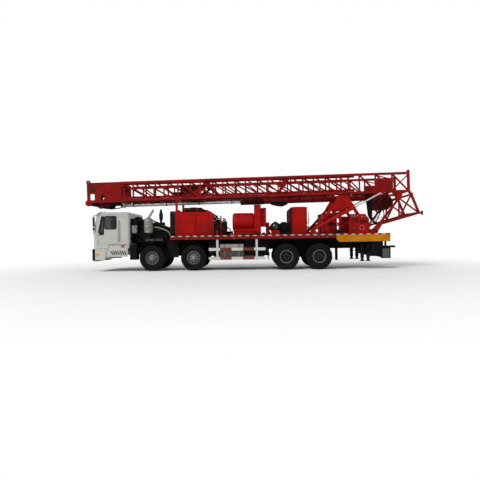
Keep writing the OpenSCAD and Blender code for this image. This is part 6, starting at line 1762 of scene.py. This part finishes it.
def rear_beam():
    # Covers over the bars that carry the rear lamps
    bar = Shape().box((5.292, 1.142, 0.902), (6.008, 1.2285, 0.988))
    bar.mirror().done("rear_bar_covers", "tyre", 0.004)
    # Under the rear: spare beam, light bar, valve block
    under = Shape()
    for y in (0.55, 0.95):
        under.box((5.27, y - 0.025, 1.03), (5.306, y + 0.025, 1.35))
    under.mirror()
    under.box((5.306, -1.06, 1.03), (5.33, 1.06, 1.11))
    under.box((5.326, -0.3, 1.15), (5.334, 0.3, 1.3))
    for y in [-0.2 + k * 0.1 for k in range(5)]:
        under.lathe([(0, 0), (0.022, 0), (0.022, 0.03), (0.014, 0.04), (0, 0.04)],
                    (5.334, y, 1.225), (1, 0, 0), 16)
    under.done("rear_beam", "chassis_black", 0.002)


# The studio

def pale_floor():
    """A pale ground that turns into the white backdrop away from the rig."""
    it = Surface("floor_pale")
    it.feed("Base Color", it.ramp(it.noise(0.6, 4), (0.3, 0.8), (0.7, 0.84)))
    it.feed("Roughness", 0.9)
    away = it.fed("ShaderNodeVectorMath", it.place, operation="LENGTH").outputs["Value"]
    fade = it.fed("ShaderNodeMapRange", away, **{"From Min": 7.0, "From Max": 15.0}).outputs["Result"]
    both = it.fed("ShaderNodeMath", fade, operation="MULTIPLY")
    it.links.new(it.fed("ShaderNodeLightPath").outputs["Is Camera Ray"], both.inputs[1])
    blend = it.fed("ShaderNodeMixShader", both.outputs[0])
    it.links.new(it.shader.outputs[0], blend.inputs[1])
    it.links.new(it.fed("ShaderNodeEmission", Strength=1.0).outputs[0], blend.inputs[2])
    it.links.new(blend.outputs[0], it.nodes["Material Output"].inputs["Surface"])
    return it.material


def floor():
    half = 45.0
    mesh = bpy.data.meshes.new("floor")
    corners = [(-half, -half, 0), (half, -half, 0), (half, half, 0), (-half, half, 0)]
    mesh.from_pydata(corners, [], [(0, 1, 2, 3)])
    mesh.materials.append(pale_floor())
    ground = bpy.data.objects.new("floor", mesh)
    bpy.context.scene.collection.objects.link(ground)


def sky():
    """White where the camera looks and softer where it lights."""
    world = bpy.data.worlds.new("studio")
    bpy.context.scene.world = world
    world.use_nodes = True
    nodes, links = world.node_tree.nodes, world.node_tree.links
    nodes.clear()
    seen = nodes.new("ShaderNodeLightPath")
    white = add(nodes, "ShaderNodeBackground", Strength=1.0, Color=(1, 1, 1, 1))
    soft = add(nodes, "ShaderNodeBackground", Strength=0.55, Color=(1, 1, 1, 1))
    either = add(nodes, "ShaderNodeMath", operation="MAXIMUM")
    links.new(seen.outputs["Is Camera Ray"], either.inputs[0])
    links.new(seen.outputs["Is Transmission Ray"], either.inputs[1])
    choose = nodes.new("ShaderNodeMixShader")
    for socket, source in enumerate((either, soft, white)):
        links.new(source.outputs[0], choose.inputs[socket])
    links.new(choose.outputs[0], nodes.new("ShaderNodeOutputWorld").inputs["Surface"])


def sun():
    lamp = bpy.data.lights.new("key", "SUN")
    lamp.energy = 2.0
    lamp.angle = math.radians(25)
    key = bpy.data.objects.new("key", lamp)
    key.rotation_euler = (math.radians(42), math.radians(-18), math.radians(-20))
    bpy.context.scene.collection.objects.link(key)


def camera():
    """Square to the left side; the aim puts the rig's middle at its place in the photo's frame."""
    frame_px = 480
    focal_px = 448.3
    stand = Vector((0.0, -20.45, 1.3))
    centre_px = 13.6
    yaw = math.atan(centre_px / focal_px)
    roll = math.radians(0.75)
    data = bpy.data.cameras.new("camera")
    data.sensor_width = 36.0
    data.lens = data.sensor_width * focal_px / frame_px
    data.clip_end = 300
    cam = bpy.data.objects.new("camera", data)
    upright = Matrix.Rotation(math.radians(90), 4, "X")
    turn = Matrix.Rotation(yaw, 4, "Z") @ upright @ Matrix.Rotation(-roll, 4, "Z")
    cam.matrix_world = Matrix.Translation(stand) @ turn
    bpy.context.scene.collection.objects.link(cam)
    bpy.context.scene.camera = cam


wheels()
for make in (doors, mirrors, head_lamps, cab_side, seats, tanks_and_guards, deck_trim, hood_side, mast_side,
             support_trim, raise_trim, upper_side, console, cabinets, rear_lamps, jacks):
    for side in SIDES:
        make(side)
for make in (cab_front, bumper, cab_roof, dash, exhaust_and_intake, engine_hoses, behind_cab, under_deck,
             deck_tread, hood_top, cooling_trim, pump_drive, posts_and_hoses, drum_trim, chain_case_trim,
             motor_trim, winch_trim, mast_lines, travelling_block, tele_trim, crown_trim, board_trim,
             rear_beam, camera, floor, sky, sun):
    make()
bpy.context.scene.view_settings.view_transform = "Standard"
